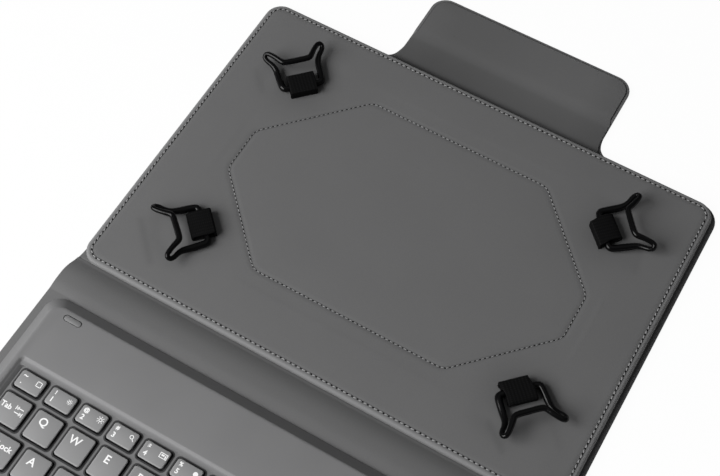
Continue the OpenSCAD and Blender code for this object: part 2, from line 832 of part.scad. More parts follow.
module flap_skin() {
    color(SKIN) flap_layer(0, flap_skin_t);
}

module flap_board() {
    color(BOARD) difference() {
        flap_layer(flap_skin_t, flap_board_t);
        at_flap_magnets() translate([0, 0, -PAST])
            cylinder(r = magnet_r + closure_play, h = flap_board_t + 2 * PAST);
    }
}

module flap_lining() {
    color(LINING) flap_layer(flap_skin_t + flap_board_t, flap_lining_t);
}

module flap_magnets() {
    color(STEEL) at_flap_magnets() cylinder(r = magnet_r, h = flap_board_t);
}

base_skin();
base_lining();
closure_plates();
bottom_case();
top_case();
case_screws();
support_plate();
membrane();
dome_sheet();
key_grid();
main_board();
battery();
charging_socket();
strip_magnets();
pairing_button();
keycaps([number_keys[0]]);  // key_backquote
keycaps([number_keys[1]]);  // key_1
keycaps([number_keys[2]]);  // key_2
keycaps([number_keys[3]]);  // key_3
keycaps([number_keys[4]]);  // key_4
keycaps(part_of(number_keys, 5, number_count - 1));  // number_keys_right
keycaps([number_keys[number_count]]);  // key_backspace
keycaps([upper_keys[0]]);  // key_tab
keycaps([upper_keys[1]]);  // key_q
keycaps([upper_keys[2]]);  // key_w_letter
keycaps([upper_keys[3]]);  // key_e
keycaps(part_of(upper_keys, 4, top_letter_count + 1));  // upper_letter_keys
keycaps([middle_keys[0]]);  // key_caps_lock
keycaps([middle_keys[1]]);  // key_a
keycaps(part_of(middle_keys, 2, letter_count));  // middle_letter_keys
keycaps([middle_keys[letter_count + 1]]);  // key_enter
keycaps([lower_keys[0]]);  // key_shift_left
keycaps(part_of(lower_keys, 1, letter_count));  // lower_letter_keys
keycaps([lower_keys[letter_count + 1]]);  // key_shift_right
keycaps([bottom_keys[modifier_left_count]]);  // key_space
keycaps(concat(placed(left_modifiers, letter_y(3), key_d), placed(right_modifiers, letter_y(3), key_d)));  // modifier_keys
keycaps(arrow_keys_list);  // arrow_keys
spine_skin();
spine_lining();
rear_lower_skin();
rear_lower_board();
rear_upper_skin();
rear_upper_board();
panel_board();
panel_lining();
panel_magnets();
strap(-1, 1);  // strap_back_left
strap(1, 1);  // strap_back_right
strap(-1, -1);  // strap_front_left
strap(1, -1);  // strap_front_right
hook(-1, 1);  // hook_back_left
hook(1, 1);  // hook_back_right
hook(-1, -1);  // hook_front_left
hook(1, -1);  // hook_front_right
gusset_skin();
gusset_lining();
flap_skin();
flap_board();
flap_lining();
flap_magnets();
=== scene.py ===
"""Looks of the folding tablet case: soft cover, padded panel, elastic hooks and keyboard."""

import json
import math

import bmesh
import bpy
from mathutils import Matrix, Vector


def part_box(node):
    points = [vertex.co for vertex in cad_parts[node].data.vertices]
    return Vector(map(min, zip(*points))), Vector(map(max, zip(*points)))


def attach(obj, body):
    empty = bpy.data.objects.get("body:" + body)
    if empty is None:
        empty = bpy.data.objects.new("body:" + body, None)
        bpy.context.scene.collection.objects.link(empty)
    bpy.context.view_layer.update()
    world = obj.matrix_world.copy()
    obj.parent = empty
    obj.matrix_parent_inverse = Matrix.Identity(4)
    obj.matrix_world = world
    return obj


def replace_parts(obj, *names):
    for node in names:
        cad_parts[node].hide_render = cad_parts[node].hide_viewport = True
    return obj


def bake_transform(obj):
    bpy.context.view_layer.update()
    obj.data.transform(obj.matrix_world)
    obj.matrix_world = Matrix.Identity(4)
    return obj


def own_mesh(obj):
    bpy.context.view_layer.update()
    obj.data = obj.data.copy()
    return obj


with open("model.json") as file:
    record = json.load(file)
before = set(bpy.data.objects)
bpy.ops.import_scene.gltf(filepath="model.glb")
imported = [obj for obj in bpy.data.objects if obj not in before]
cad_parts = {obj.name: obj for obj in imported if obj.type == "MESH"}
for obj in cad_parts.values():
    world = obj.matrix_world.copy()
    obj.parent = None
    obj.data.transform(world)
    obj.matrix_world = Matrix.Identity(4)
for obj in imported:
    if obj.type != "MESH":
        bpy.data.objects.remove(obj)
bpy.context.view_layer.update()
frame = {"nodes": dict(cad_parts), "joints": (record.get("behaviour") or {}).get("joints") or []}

# Sizes in millimetres, as in the solids
MM = 0.001
COVER_W, REAR_W, FLAP_W, SKIN_T = 263.6, 261.0, 116.5, 0.8
REAR_X, FLAP_X = 1.2, 3.2
BASE_FRONT, FLAP_END = -91.3, 344.0
FOLD = {j["name"]: j["pos_m"][1] / MM for j in frame["joints"] if "pos_m" in j}
BASE_FOLD, REAR_FOLD, CREASE = FOLD["base_fold"], FOLD["spine_fold"], FOLD["stand_fold"]
FLAP_FOLD, TIP_FOLD = FOLD["flap_fold"], FOLD["flap_tip_fold"]
SPINE_MID = (BASE_FOLD + REAR_FOLD) / 2
REAR_MID = (REAR_FOLD + CREASE) / 2
GUSSET_MID = (FLAP_FOLD + TIP_FOLD) / 2
SLAB_W, SLAB_D, SLAB_R, SLAB_Y = 258.0, 181.6, 9.0, 202.7
SLAB_UNDER, SLAB_TOP = 1.8, 4.8
DECK_W, DECK_D, DECK_R, KB_Y = 243.6, 165.5, 6.0, 1.45
KB_W, KB_D, KB_R = 255.4, 177.3, 8.95
KB_UNDER, DECK_Z = 1.6, 7.0
WELL_W, WELL_D, WELL_R, WELL_Y = 238.2, 90.1, 2.0, 9.35
HOOK_X, HOOK_DY = 86.6, 48.4


# Helpers

BMVert, BMEdge = bmesh.types.BMVert, bmesh.types.BMEdge


def mm_move(x, y, z=0.0):
    """Shift by millimetres."""
    return Matrix.Translation((x * MM, y * MM, z * MM))


def turn_z(angle):
    return Matrix.Rotation(angle, 4, "Z")


def linked(name, data):
    """New object in the scene."""
    obj = bpy.data.objects.new(name, data)
    bpy.context.scene.collection.objects.link(obj)
    return obj


def mesh_of(name, bm):
    """Mesh made of a bmesh, which is then freed."""
    mesh = bpy.data.meshes.new(name)
    bm.to_mesh(mesh)
    bm.free()
    return mesh


def box_of(node):
    """Lowest and highest corner of a solid in millimetres."""
    return [[c / MM for c in corner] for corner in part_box(node)]


def finished_mesh(obj):
    """Mesh of an object with its modifiers or its bevel applied."""
    bpy.context.view_layer.update()
    return bpy.data.meshes.new_from_object(obj.evaluated_get(bpy.context.evaluated_depsgraph_get()))


def eased(t):
    """Smooth step from 0 to 1."""
    t = min(1.0, max(0.0, t))
    return t * t * (3 - 2 * t)


def bell(distance, width):
    """1 in the middle, and falling off smoothly past the width."""
    return math.exp(-(distance / width) ** 2)


# Shaders

def new_group(name, inputs, outputs):
    """Empty shader group with its named sockets; returns the group with its two end nodes."""
    group = bpy.data.node_groups.new(name, "ShaderNodeTree")
    for label, kind, value in inputs:
        socket = group.interface.new_socket(label, in_out="INPUT", socket_type=kind)
        if value is not None:
            socket.default_value = value
    for label in outputs:
        group.interface.new_socket(label, in_out="OUTPUT", socket_type="NodeSocketFloat")
    return group, group.nodes.new("NodeGroupInput"), group.nodes.new("NodeGroupOutput")


def wire(tree, node, links):
    """Feeds a node from (input, value or socket) pairs."""
    for key, value in links:
        if isinstance(value, bpy.types.NodeSocket):
            tree.links.new(value, node.inputs[key])
        else:
            node.inputs[key].default_value = value
    return node


def add(tree, kind, links=(), **settings):
    """New node with its settings, fed as wire does."""
    node = tree.nodes.new(kind)
    for key, value in settings.items():
        setattr(node, key, value)
    return wire(tree, node, links)


def math_node(tree, operation, a, b):
    return add(tree, "ShaderNodeMath", [(0, a), (1, b)], operation=operation).outputs[0]


def noise(tree, where, scale, detail):
    return add(tree, "ShaderNodeTexNoise", [("Vector", where), ("Scale", scale), ("Detail", detail)])


def shade(grey, share):
    """A grey made darker or lighter."""
    return (*[c * share for c in grey], 1)


# Places of the two colours among a mix node's inputs
MIX_A, MIX_B = 6, 7


def tone(tree, factor, dark, light, **settings):
    """Colour between two by a factor."""
    mixed = add(tree, "ShaderNodeMix", [("Factor", factor)], data_type="RGBA", **settings)
    return wire(tree, mixed, [(MIX_A, dark), (MIX_B, light)]).outputs[2]


def spread(tree, value, low, high):
    """Value of 0 to 1 brought to another range."""
    return add(tree, "ShaderNodeMapRange", [("Value", value), ("To Min", low), ("To Max", high)]).outputs[0]


def leather_grain():
    """Pebbled leather: flat cells with fine creases between them, and a slow cloudiness."""
    group, given, out = new_group(
        "leather_grain",
        [("Vector", "NodeSocketVector", None), ("Cells per metre", "NodeSocketFloat", 1600.0)],
        ["Height", "Cloud", "Pore"])
    where, cells = given.outputs["Vector"], given.outputs["Cells per metre"]
    bent = noise(group, where, 420.0, 2.0)
    drift = add(group, "ShaderNodeVectorMath", [(0, bent.outputs["Color"]), ("Scale", 0.0006)],
                operation="SCALE")
    moved = add(group, "ShaderNodeVectorMath", [(0, where), (1, drift.outputs[0])], operation="ADD")
    crease = add(group, "ShaderNodeTexVoronoi", [("Vector", moved.outputs[0]), ("Scale", cells)],
                 feature="DISTANCE_TO_EDGE")
    flat = add(group, "ShaderNodeMapRange", [("Value", crease.outputs["Distance"]), ("From Max", 0.22)])
    fine = noise(group, where, 5200.0, 2.0)
    height = math_node(group, "ADD", flat.outputs[0], math_node(group, "MULTIPLY", fine.outputs[0], 0.5))
    cloud = noise(group, where, 26.0, 3.0)
    wire(group, out, [("Height", height), ("Cloud", cloud.outputs[0]), ("Pore", flat.outputs[0])])
    return group


def moulded_texture():
    """Spark-eroded plastic: a fine even grit, and a slow change of gloss where fingers rub."""
    group, given, out = new_group(
        "moulded_texture",
        [("Vector", "NodeSocketVector", None), ("Grit per metre", "NodeSocketFloat", 4200.0)],
        ["Height", "Rub"])
    where = given.outputs["Vector"]
    grit = noise(group, where, given.outputs["Grit per metre"], 3.0)
    rub = noise(group, where, 34.0, 2.0)
    wire(group, out, [("Height", grit.outputs[0]), ("Rub", rub.outputs[0])])
    return group


LEATHER_GRAIN = leather_grain()
MOULDED_TEXTURE = moulded_texture()


def new_finish(name):
    """Empty material with its shader and its object coordinates."""
    made = bpy.data.materials.new(name)
    made.use_nodes = True
    shader = made.node_tree.nodes["Principled BSDF"]
    coords = made.node_tree.nodes.new("ShaderNodeTexCoord")
    return made, made.node_tree, shader, coords.outputs["Object"]


def wire_bump(tree, shader, height, depth, strength):
    bump = add(tree, "ShaderNodeBump", [("Height", height), ("Distance", depth), ("Strength", strength)])
    tree.links.new(bump.outputs[0], shader.inputs["Normal"])


def leather_finish(name, grey, cells, rough, depth, sheen, mask=None):
    """Coated fabric of one grey with its grain; mask names a point attribute of painted light, which darkens
    the colour as painted shade, and where it is negative lightens it as a painted highlight."""
    made, tree, shader, where = new_finish(name)
    grain = add(tree, "ShaderNodeGroup", [("Vector", where), ("Cells per metre", cells)],
                node_tree=LEATHER_GRAIN)
    cloud = grain.outputs["Cloud"]
    colour = tone(tree, spread(tree, cloud, 0.2, 0.8), shade(grey, 0.93), shade(grey, 1.07))
    colour = tone(tree, spread(tree, grain.outputs["Pore"], 0.8, 1.0), shade(grey, 0.6), colour)
    if mask:
        painted_light = add(tree, "ShaderNodeAttribute", attribute_name=mask)
        colour = tone(tree, painted_light.outputs["Fac"], colour, shade(grey, 0.42), clamp_factor=False)
    wire(tree, shader, [("Base Color", colour), ("Specular IOR Level", 0.32),
                        ("Roughness", spread(tree, cloud, rough - 0.05, rough + 0.05)),
                        ("Sheen Weight", sheen), ("Sheen Roughness", 0.55)])
    wire_bump(tree, shader, grain.outputs["Height"], depth, 0.55)
    return made


def plastic_finish(name, grey, rough, grit=4200.0, depth=0.00002, specular=0.4):
    """Moulded plastic of one grey."""
    made, tree, shader, where = new_finish(name)
    texture = add(tree, "ShaderNodeGroup", [("Vector", where), ("Grit per metre", grit)],
                  node_tree=MOULDED_TEXTURE)
    rub = texture.outputs["Rub"]
    wire(tree, shader, [("Base Color", tone(tree, rub, shade(grey, 0.94), shade(grey, 1.06))),
                        ("Roughness", spread(tree, rub, rough - 0.06, rough + 0.06)),
                        ("Specular IOR Level", specular)])
    wire_bump(tree, shader, texture.outputs["Height"], depth, 0.5)
    return made


def metal_finish(name, grey, rough, brushed):
    """Plated or brushed metal; brushed gives the streaks per metre across X."""
    made, tree, shader, where = new_finish(name)
    stretch = add(tree, "ShaderNodeMapping", [("Vector", where), ("Scale", (0.04, 1.0, 1.0))])
    streaks = noise(tree, stretch.outputs[0], brushed, 3.0).outputs[0]
    wire(tree, shader, [("Base Color", tone(tree, streaks, shade(grey, 0.85), shade(grey, 1.1))),
                        ("Roughness", spread(tree, streaks, rough - 0.08, rough + 0.08)), ("Metallic", 1.0)])
    return made


def elastic_finish(name, turn):
    """Black woven elastic: ribs along the strap and picks across, for a strap that lies at turn degrees."""
    made, tree, shader, where = new_finish(name)
    lay = add(tree, "ShaderNodeMapping", [("Vector", where), ("Rotation", (0, 0, math.radians(-turn)))])
    ribs, picks = (
        add(tree, "ShaderNodeTexWave", [("Vector", lay.outputs[0]), ("Scale", scale), ("Distortion", bent)],
            bands_direction=way)
        for scale, bent, way in ((190.0, 0.3, "Y"), (330.0, 0.6, "X")))
    fuzz = noise(tree, where, 6000.0, 2.0).outputs[0]
    woven = math_node(tree, "MULTIPLY", ribs.outputs["Fac"], picks.outputs["Fac"])
    height = math_node(tree, "ADD", woven, math_node(tree, "MULTIPLY", fuzz, 0.3))
    wire(tree, shader, [
        ("Base Color", tone(tree, woven, (0.0012, 0.0012, 0.0013, 1), (0.0065, 0.0065, 0.0068, 1))),
        ("Roughness", spread(tree, fuzz, 0.72, 0.92)), ("Specular IOR Level", 0.1)])
    wire_bump(tree, shader, height, 0.00012, 0.8)
    return made


def circuit_finish():
    """Green solder mask with copper tracks showing through it."""
    made, tree, shader, where = new_finish("solder_mask")
    tracks = add(tree, "ShaderNodeTexBrick", [
        ("Vector", where), ("Scale", 260.0), ("Mortar Size", 0.08), ("Color1", (0.016, 0.11, 0.045, 1)),
        ("Color2", (0.02, 0.13, 0.05, 1)), ("Mortar", (0.07, 0.22, 0.08, 1))])
    wire(tree, shader, [("Base Color", tracks.outputs["Color"]),
                        ("Roughness", spread(tree, tracks.outputs["Fac"], 0.35, 0.25))])
    wire_bump(tree, shader, tracks.outputs["Fac"], 0.00003, 0.5)
    return made


LINING_GREY = (0.125, 0.125, 0.126)
COVER_LINING = leather_finish("cover_lining", LINING_GREY, 1900.0, 0.62, 0.00003, 0.1)
# The pad lining's point attribute carries painted shade and a painted highlight.
PAD_LINING = leather_finish("pad_lining", LINING_GREY, 1900.0, 0.62, 0.00003, 0.1, "painted_light")
COVER_SKIN = leather_finish("cover_skin", (0.085, 0.085, 0.087), 1300.0, 0.55, 0.00006, 0.05)
CASE_PLASTIC = plastic_finish("case_plastic", (0.165, 0.165, 0.167), 0.5)
GRID_PLASTIC = plastic_finish("grid_plastic", (0.155, 0.155, 0.157), 0.55)
KEY_PLASTIC = plastic_finish("key_plastic", (0.24, 0.24, 0.242), 0.46)
# Near-black finish of painted shade for the lower sides of the keys and the lips round their windows.
KEY_SHADE = plastic_finish("key_painted_shade", (0.035, 0.035, 0.036), 0.6, specular=0.25)
LEGEND_INK = plastic_finish("legend_ink", (0.86, 0.86, 0.86), 0.5, depth=0.000005)
HOOK_PLASTIC = plastic_finish("hook_plastic", (0.002, 0.002, 0.0022), 0.16, grit=900.0, depth=0.00001,
                              specular=0.16)
THREAD = plastic_finish("stitch_thread", (0.24, 0.24, 0.242), 0.7, grit=5000.0, depth=0.00006, specular=0.3)
CUT_EDGE = leather_finish("cut_edge", (0.03, 0.03, 0.031), 2600.0, 0.8, 0.00005, 0.0)
NEEDLE_HOLE = plastic_finish("needle_hole", (0.006, 0.006, 0.006), 0.9, specular=0.1)
DOME_RUBBER = plastic_finish("dome_rubber", (0.02, 0.02, 0.022), 0.7)
CONTACT_FILM = plastic_finish("contact_film", (0.60, 0.59, 0.55), 0.3)
BATTERY_FOIL = metal_finish("battery_foil", (0.55, 0.55, 0.57), 0.4, 900.0)
PLAIN_STEEL = metal_finish("plain_steel", (0.50, 0.51, 0.53), 0.35, 1500.0)
SOLDER_MASK = circuit_finish()
WEAVE_RISING = elastic_finish("elastic_rising", 45)
WEAVE_FALLING = elastic_finish("elastic_falling", -45)


# Making pieces

def grown_from(bm, edges, ways, moved):
    """Extrudes a loop of edges, puts each new point where moved says for its way; returns the new loop."""
    made = bmesh.ops.extrude_edge_only(bm, edges=edges)["geom"]
    fresh = {g for g in made if isinstance(g, BMVert)}
    loop = [g for g in made if isinstance(g, BMEdge) and all(v in fresh for v in g.verts)]
    next_ways = {}
    for v in fresh:
        next_ways[v] = next(ways[e.other_vert(v)] for e in v.link_edges if e.other_vert(v) in ways)
        v.co = moved(next_ways[v])
    return loop, next_ways


def loft(bm, sections, steps=7, ends=True):
    """Skin through rounded rectangles (w, d, r, z, at), from a circle with its quarters moved apart."""
    def on(section):
        w, d, r, z, at = section
        return lambda n: Vector((at[0] + math.copysign(w / 2 - r, n.x) + r * n.x,
                                 at[1] + math.copysign(d / 2 - r, n.y) + r * n.y, z)) * MM

    half_step = turn_z(math.pi / (4 * steps))
    start = bmesh.ops.create_circle(bm, segments=4 * steps, radius=1, matrix=half_step)["verts"]
    ways = {v: v.co.normalized() for v in start}
    for v in start:
        v.co = on(sections[0])(ways[v])
    edges = first = list({e for v in start for e in v.link_edges})
    for section in sections[1:]:
        edges, ways = grown_from(bm, edges, ways, on(section))
    if ends:
        bmesh.ops.edgeloop_fill(bm, edges=first)
        bmesh.ops.edgeloop_fill(bm, edges=edges)


def finish_piece(name, bm, body, finishes, smooth):
    """Turns a bmesh into a finished piece, riding on a body if one is named."""
    mesh = mesh_of(name, bm)
    mesh.set_sharp_from_angle(angle=math.radians(smooth))
    for finish in finishes:
        mesh.materials.append(finish)
    obj = linked(name, mesh)
    if body:
        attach(obj, body)
    return obj


def place(name, bm, body, finishes, smooth=35):
    """Piece from a bmesh whose seams are closed and whose faces are turned outwards first."""
    bmesh.ops.remove_doubles(bm, verts=bm.verts, dist=1e-7)
    bmesh.ops.recalc_face_normals(bm, faces=bm.faces)
    for f in bm.faces:
        f.smooth = True
    return finish_piece(name, bm, body, finishes, smooth)


def cut_across(bm, places, way=(0, 1, 0)):
    """Cuts the whole mesh at these places in Y, or along another way."""
    for far in places:
        bmesh.ops.bisect_plane(bm, geom=bm.verts[:] + bm.edges[:] + bm.faces[:], dist=1e-7,
                               plane_co=Vector(way) * far * MM, plane_no=way)


def steps_between(start, end, step):
    count = max(1, round((end - start) / step))
    return [start + (end - start) * i / count for i in range(count + 1)]


def paint_light_where(obj, amount):
    """Point attribute of painted shade and painted highlight that the lining's finish reads, from each
    point's place in millimetres.
    """
    painted_light = obj.data.attributes.new("painted_light", "FLOAT", "POINT")
    for v, value in zip(obj.data.vertices, painted_light.data):
        value.value = amount(*[c / MM for c in v.co])


# Half of the width over which a sheet bends, and steps between its cuts there, along its form and for its
# painted shade
FOLD_HALF, FOLD_STEP, FORM_STEP, SHADE_STEP = 2.0, 0.25, 1.2, 20


def soft_sheet(name, corners, z, fold_at, finish, slot, rest, shape=None, worn=None, other=None, rim=0.28):
    """Sheet with an outline of (x, y, corner radius), cut closely round its fold (y, two bodies).

    The edges that lie along X at both ends of the outline and carry no radius meet the next sheet, so they
    stay square; every other edge is turned, and so round. shape(x, y, z) lifts the sheet where it doesn't lie
    flat, and a second function of (x, y) paints shade on it: it darkens the sheet where shade falls. other is
    a second finish and which faces, by their normal and place, take it."""
    fold, bodies = fold_at
    xs, ys = [c[0] for c in corners], [c[1] for c in corners]
    left, right, low, high = min(xs), max(xs), min(ys), max(ys)
    bm = bmesh.new()
    verts = [bm.verts.new((x * MM, y * MM, z * MM)) for x, y, r in corners]
    bm.faces.new(verts)
    for v, (x, y, r) in zip(verts, corners):
        if r:
            bmesh.ops.bevel(bm, geom=[v], offset=r * MM, affect="VERTICES", segments=8, profile=0.5,
                            material=-1)
    joined = [y for y in (low, high) if all(c[2] == 0 for c in corners if c[1] == y)]
    raised = bmesh.ops.extrude_face_region(bm, geom=bm.faces[:])["geom"]
    bmesh.ops.translate(bm, verts=[g for g in raised if isinstance(g, BMVert)], vec=(0, 0, SKIN_T * MM))
    turned = [e for e in bm.edges
              if abs(e.verts[0].co.z - e.verts[1].co.z) < 1e-9
              and not any(all(abs(v.co.y - y * MM) < 1e-6 for v in e.verts) for y in joined)]
    bmesh.ops.bevel(bm, geom=turned, offset=rim * MM, affect="EDGES", segments=3, profile=0.5, material=-1)
    cut_across(bm, steps_between(fold - FOLD_HALF, fold + FOLD_HALF, FOLD_STEP))
    if shape:
        cut_across(bm, steps_between(low, high, FORM_STEP)[1:-1])
        for v in bm.verts:
            v.co.z += shape(v.co.x / MM, v.co.y / MM, v.co.z / MM) * MM
    if worn:
        cut_across(bm, steps_between(left, right, SHADE_STEP)[1:-1], (1, 0, 0))
    bm.normal_update()
    for f in bm.faces:
        f.material_index = int(other is not None and other[1](f.normal, f.calc_center_median()))
    obj = place(name, bm, None, [finish, other[0]] if other else [finish])
    # Painted shade, stored in the point attribute that the lining's finish reads.
    if worn:
        paint_light_where(obj, lambda x, y, z: worn(x, y))
    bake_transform(obj)
    round_trip = zip(corners, corners[1:] + corners[:1])
    area = abs(sum(a[0] * b[1] - b[0] * a[1] for a, b in round_trip)) / 2 * MM * MM
    return obj


# Soft cover

def spine_arch(x, y, z):
    """The spine's lining stands up in a low arch that is highest towards the keyboard."""
    t = min(1.0, max(0.0, (y - BASE_FOLD) / (REAR_FOLD - BASE_FOLD)))
    lift = 0.35 * eased(t / 0.3) + 2.75 * t - 3.6 * t * t
    return lift if z > 1.2 else max(lift, 0.0)


def gusset_wedge(x, y, z):
    """The flap's root is a little thicker at its seam along the panel and thins towards the tip fold."""
    return 0.6 * eased((TIP_FOLD + 1 - y) / (TIP_FOLD - FLAP_FOLD)) if z > 1.2 else 0.0


def flap_thickening(x, y, z):
    """The flap's sheets part round the stiff plate beyond the tip fold."""
    return 0.25 * eased((y - TIP_FOLD + 3) / 8) + gusset_wedge(x, y, z)


def worn_root(x, y):
    """Painted shade on the flap: darker towards its left end and over its root up to the tip fold, and a
    painted shadow most along its seam with the panel.
    """
    on_root = 1 - eased((y - FLAP_FOLD) / (TIP_FOLD - FLAP_FOLD))
    return (0.12 + 0.26 * eased((FLAP_X + 35 - x) / 80) + 0.2 * (1 - eased((y - TIP_FOLD + 6) / 3))
            + 0.26 * on_root + 0.5 * bell(y - FLAP_FOLD, 1.8))


def worn_spine(x, y):
    """Darkens the spine's lining a little past the base fold, and with painted shade most where it runs under
    the panel.
    """
    return 0.16 * eased((y - BASE_FOLD) / 3) + 0.42 * eased((y - SPINE_MID) / (REAR_FOLD - SPINE_MID))


def turned_rim(x, y, z):
    """The flap's skin is turned up over the edges of its plate, and follows the thick root."""
    return 0.55 * eased((y - TIP_FOLD + 2.2) / 2.5) + 0.8 * gusset_wedge(x, y, 2 * z) if z > 0.4 else 0.0


def root_rim(x, y, z):
    """The skin rises along the root as its lining does."""
    return 0.8 * gusset_wedge(x, y, 2 * z) * eased((y - FLAP_FOLD) / 3)


HALF = COVER_W / 2
REAR_L, REAR_R = REAR_X - REAR_W / 2, REAR_X + REAR_W / 2
# Where the cover narrows behind the spine, and where the last sheet of its rear begins
NARROWS = REAR_FOLD - 6, REAR_FOLD + 4
ROOT_START = 270
TURNED, LINING_IN = 0.3, 1.5
# Corner radii of the base, the rear cover and the flap, and of the bends where the sides step in
COVER_R, REAR_R_BACK, FLAP_R, BEND_R = 9, 10.8, 9, 4
# Sides of the flap's skin, of its lining and of the lining's root, left and right
SKIN_L, SKIN_R = FLAP_X - FLAP_W / 2 - TURNED, FLAP_X + FLAP_W / 2 + TURNED
LINING_L, LINING_R = SKIN_L + LINING_IN, SKIN_R - LINING_IN
ROOT_L, ROOT_R = SKIN_L + 0.4, SKIN_R - 0.4
TIP_END = FLAP_END + TURNED
SPINE_END = REAR_FOLD + 1.4
NARROWED = (SPINE_END - NARROWS[0]) / (NARROWS[1] - NARROWS[0])
END_L, END_R = -HALF + (REAR_L + HALF) * NARROWED, HALF + (REAR_R - HALF) * NARROWED

base_outline = [(-HALF, BASE_FRONT, COVER_R), (HALF, BASE_FRONT, COVER_R), (HALF, SPINE_MID, 0),
                (-HALF, SPINE_MID, 0)]
spine_outline = [(-HALF, SPINE_MID, 0), (HALF, SPINE_MID, 0), (HALF, NARROWS[0], 3),
                 (REAR_R, NARROWS[1], BEND_R), (REAR_R, REAR_MID, 0), (REAR_L, REAR_MID, 0),
                 (REAR_L, NARROWS[1], BEND_R), (-HALF, NARROWS[0], 3)]
rear_outline = [(REAR_L, REAR_MID, 0), (REAR_R, REAR_MID, 0),
                (REAR_R, ROOT_START, 0), (REAR_L, ROOT_START, 0)]
root_outline = [(REAR_L, ROOT_START, 0), (REAR_R, ROOT_START, 0), (REAR_R, FLAP_FOLD, REAR_R_BACK),
                (SKIN_R + 3, FLAP_FOLD, BEND_R), (SKIN_R, FLAP_FOLD + 7, BEND_R), (SKIN_R, GUSSET_MID, 0),
                (SKIN_L, GUSSET_MID, 0), (SKIN_L, FLAP_FOLD + 7, BEND_R), (SKIN_L - 3, FLAP_FOLD, BEND_R),
                (REAR_L, FLAP_FOLD, REAR_R_BACK)]
flap_outline = [(SKIN_L, GUSSET_MID, 0), (SKIN_R, GUSSET_MID, 0), (SKIN_R, TIP_END, FLAP_R),
                (SKIN_L, TIP_END, FLAP_R)]
lining_rear = [(-HALF, SPINE_MID, 0), (HALF, SPINE_MID, 0), (HALF, NARROWS[0], 3), (END_R, SPINE_END, 0),
               (END_L, SPINE_END, 0), (-HALF, NARROWS[0], 3)]
lining_root = [(ROOT_L - 2, FLAP_FOLD - 1.2, 0), (ROOT_R + 2, FLAP_FOLD - 1.2, 0), (ROOT_R, FLAP_FOLD + 5, 3),
               (ROOT_R, GUSSET_MID, 0), (ROOT_L, GUSSET_MID, 0), (ROOT_L, FLAP_FOLD + 5, 3)]
lining_tip = [(ROOT_L, GUSSET_MID, 0), (ROOT_R, GUSSET_MID, 0), (ROOT_R, TIP_FOLD - 3, 0),
              (LINING_R, TIP_FOLD + 1, 0), (LINING_R, TIP_END - LINING_IN, FLAP_R - 1),
              (LINING_L, TIP_END - LINING_IN, FLAP_R - 1), (LINING_L, TIP_FOLD + 1, 0),
              (ROOT_L, TIP_FOLD - 3, 0)]

# Folds, each with the two bodies that meet there
AT_BASE = BASE_FOLD, ("base", "spine")
AT_REAR = REAR_FOLD, ("spine", "rear_lower")
AT_CREASE = CREASE, ("rear_lower", "panel")
AT_ROOT = FLAP_FOLD + FOLD_HALF, ("panel", "flap_gusset")
AT_TIP = TIP_FOLD, ("flap_gusset", "flap_plate")


def skin_sheet(part, outline, fold_at, rest, *nodes, **form):
    """Sheet of the outer skin, on the table."""
    made = soft_sheet("cover_skin_" + part, outline, 0, fold_at, COVER_SKIN, "skin", [rest], **form)
    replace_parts(made, *nodes)


def lining_sheet(part, outline, fold_at, rest, node, **form):
    """Sheet of the lining, on the skin."""
    made = soft_sheet("lining_" + part, outline, SKIN_T, fold_at, PAD_LINING, "lining", [rest], **form)
    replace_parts(made, node)


skin_sheet("base", base_outline, AT_BASE, "bottom_case", "base_skin")
skin_sheet("spine", spine_outline, AT_REAR, "rear_lower_board", "spine_skin", "rear_lower_skin")
skin_sheet("rear", rear_outline, AT_CREASE, "rear_upper_board", "rear_upper_skin")
skin_sheet("root", root_outline, AT_ROOT, "rear_upper_board", "gusset_skin", shape=root_rim)
skin_sheet("flap", flap_outline, AT_TIP, "flap_board", "flap_skin", shape=turned_rim,
           other=(PAD_LINING, lambda facing, at: facing.z > 0.3))
lining_sheet("base", base_outline, AT_BASE, "cover_skin_base", "base_lining",
             shape=spine_arch, worn=worn_spine)
lining_sheet("spine", lining_rear, AT_REAR, "cover_skin_spine", "spine_lining",
             shape=spine_arch, worn=worn_spine)
lining_sheet("root", lining_root, AT_ROOT, "cover_skin_root", "gusset_lining",
             shape=gusset_wedge, worn=worn_root)
lining_sheet("flap", lining_tip, AT_TIP, "flap_board", "flap_lining", shape=flap_thickening, worn=worn_root,
             other=(CUT_EDGE, lambda facing, at: facing.z < 0.985 and at.y > TIP_FOLD * MM), rim=0.38)


def rear_facing():
    """Stiff lower half of the rear cover, wrapped in lining; it shows when the panel stands."""
    (left, front, _), (right, back, top) = box_of("rear_lower_board")
    bm = bmesh.new()
    w, d, at = right - left, back - front, (0, (back + front) / 2)
    loft(bm, [(w, d, 1.5, SKIN_T, at), (w, d, 1.5, top - 0.4, at), (w - 0.25, d - 0.25, 1.4, top - 0.12, at),
              (w - 0.8, d - 0.8, 1.2, top, at)])
    cut_across(bm, steps_between(front, back, 6)[1:-1])
    facing = place("rear_lower_facing", bm, "rear_lower", [PAD_LINING])
    # Painted shade: the lining is darker towards the spine fold, under the panel.
    paint_light_where(facing, lambda x, y, z: 0.48 * (1 - eased((y - REAR_FOLD) / 20)))
    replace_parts(facing, "rear_lower_board")


rear_facing()


# Padded panel with its sewing

EDGE_R = 1.7
STITCH_IN = 2.9
OCTAGON_CORNERS = [(-52, 147.9), (52.1, 147.9), (93.4, 190.5), (93.4, 216.2), (50, 261.6), (-50, 261.6),
                   (-93.4, 216.2), (-93.4, 190.5)]


def to_line(p, a, b):
    """Distance of a point from a line between two others."""
    ab = b - a
    t = min(1.0, max(0.0, (p - a).dot(ab) / ab.length_squared))
    return (p - a - ab * t).length


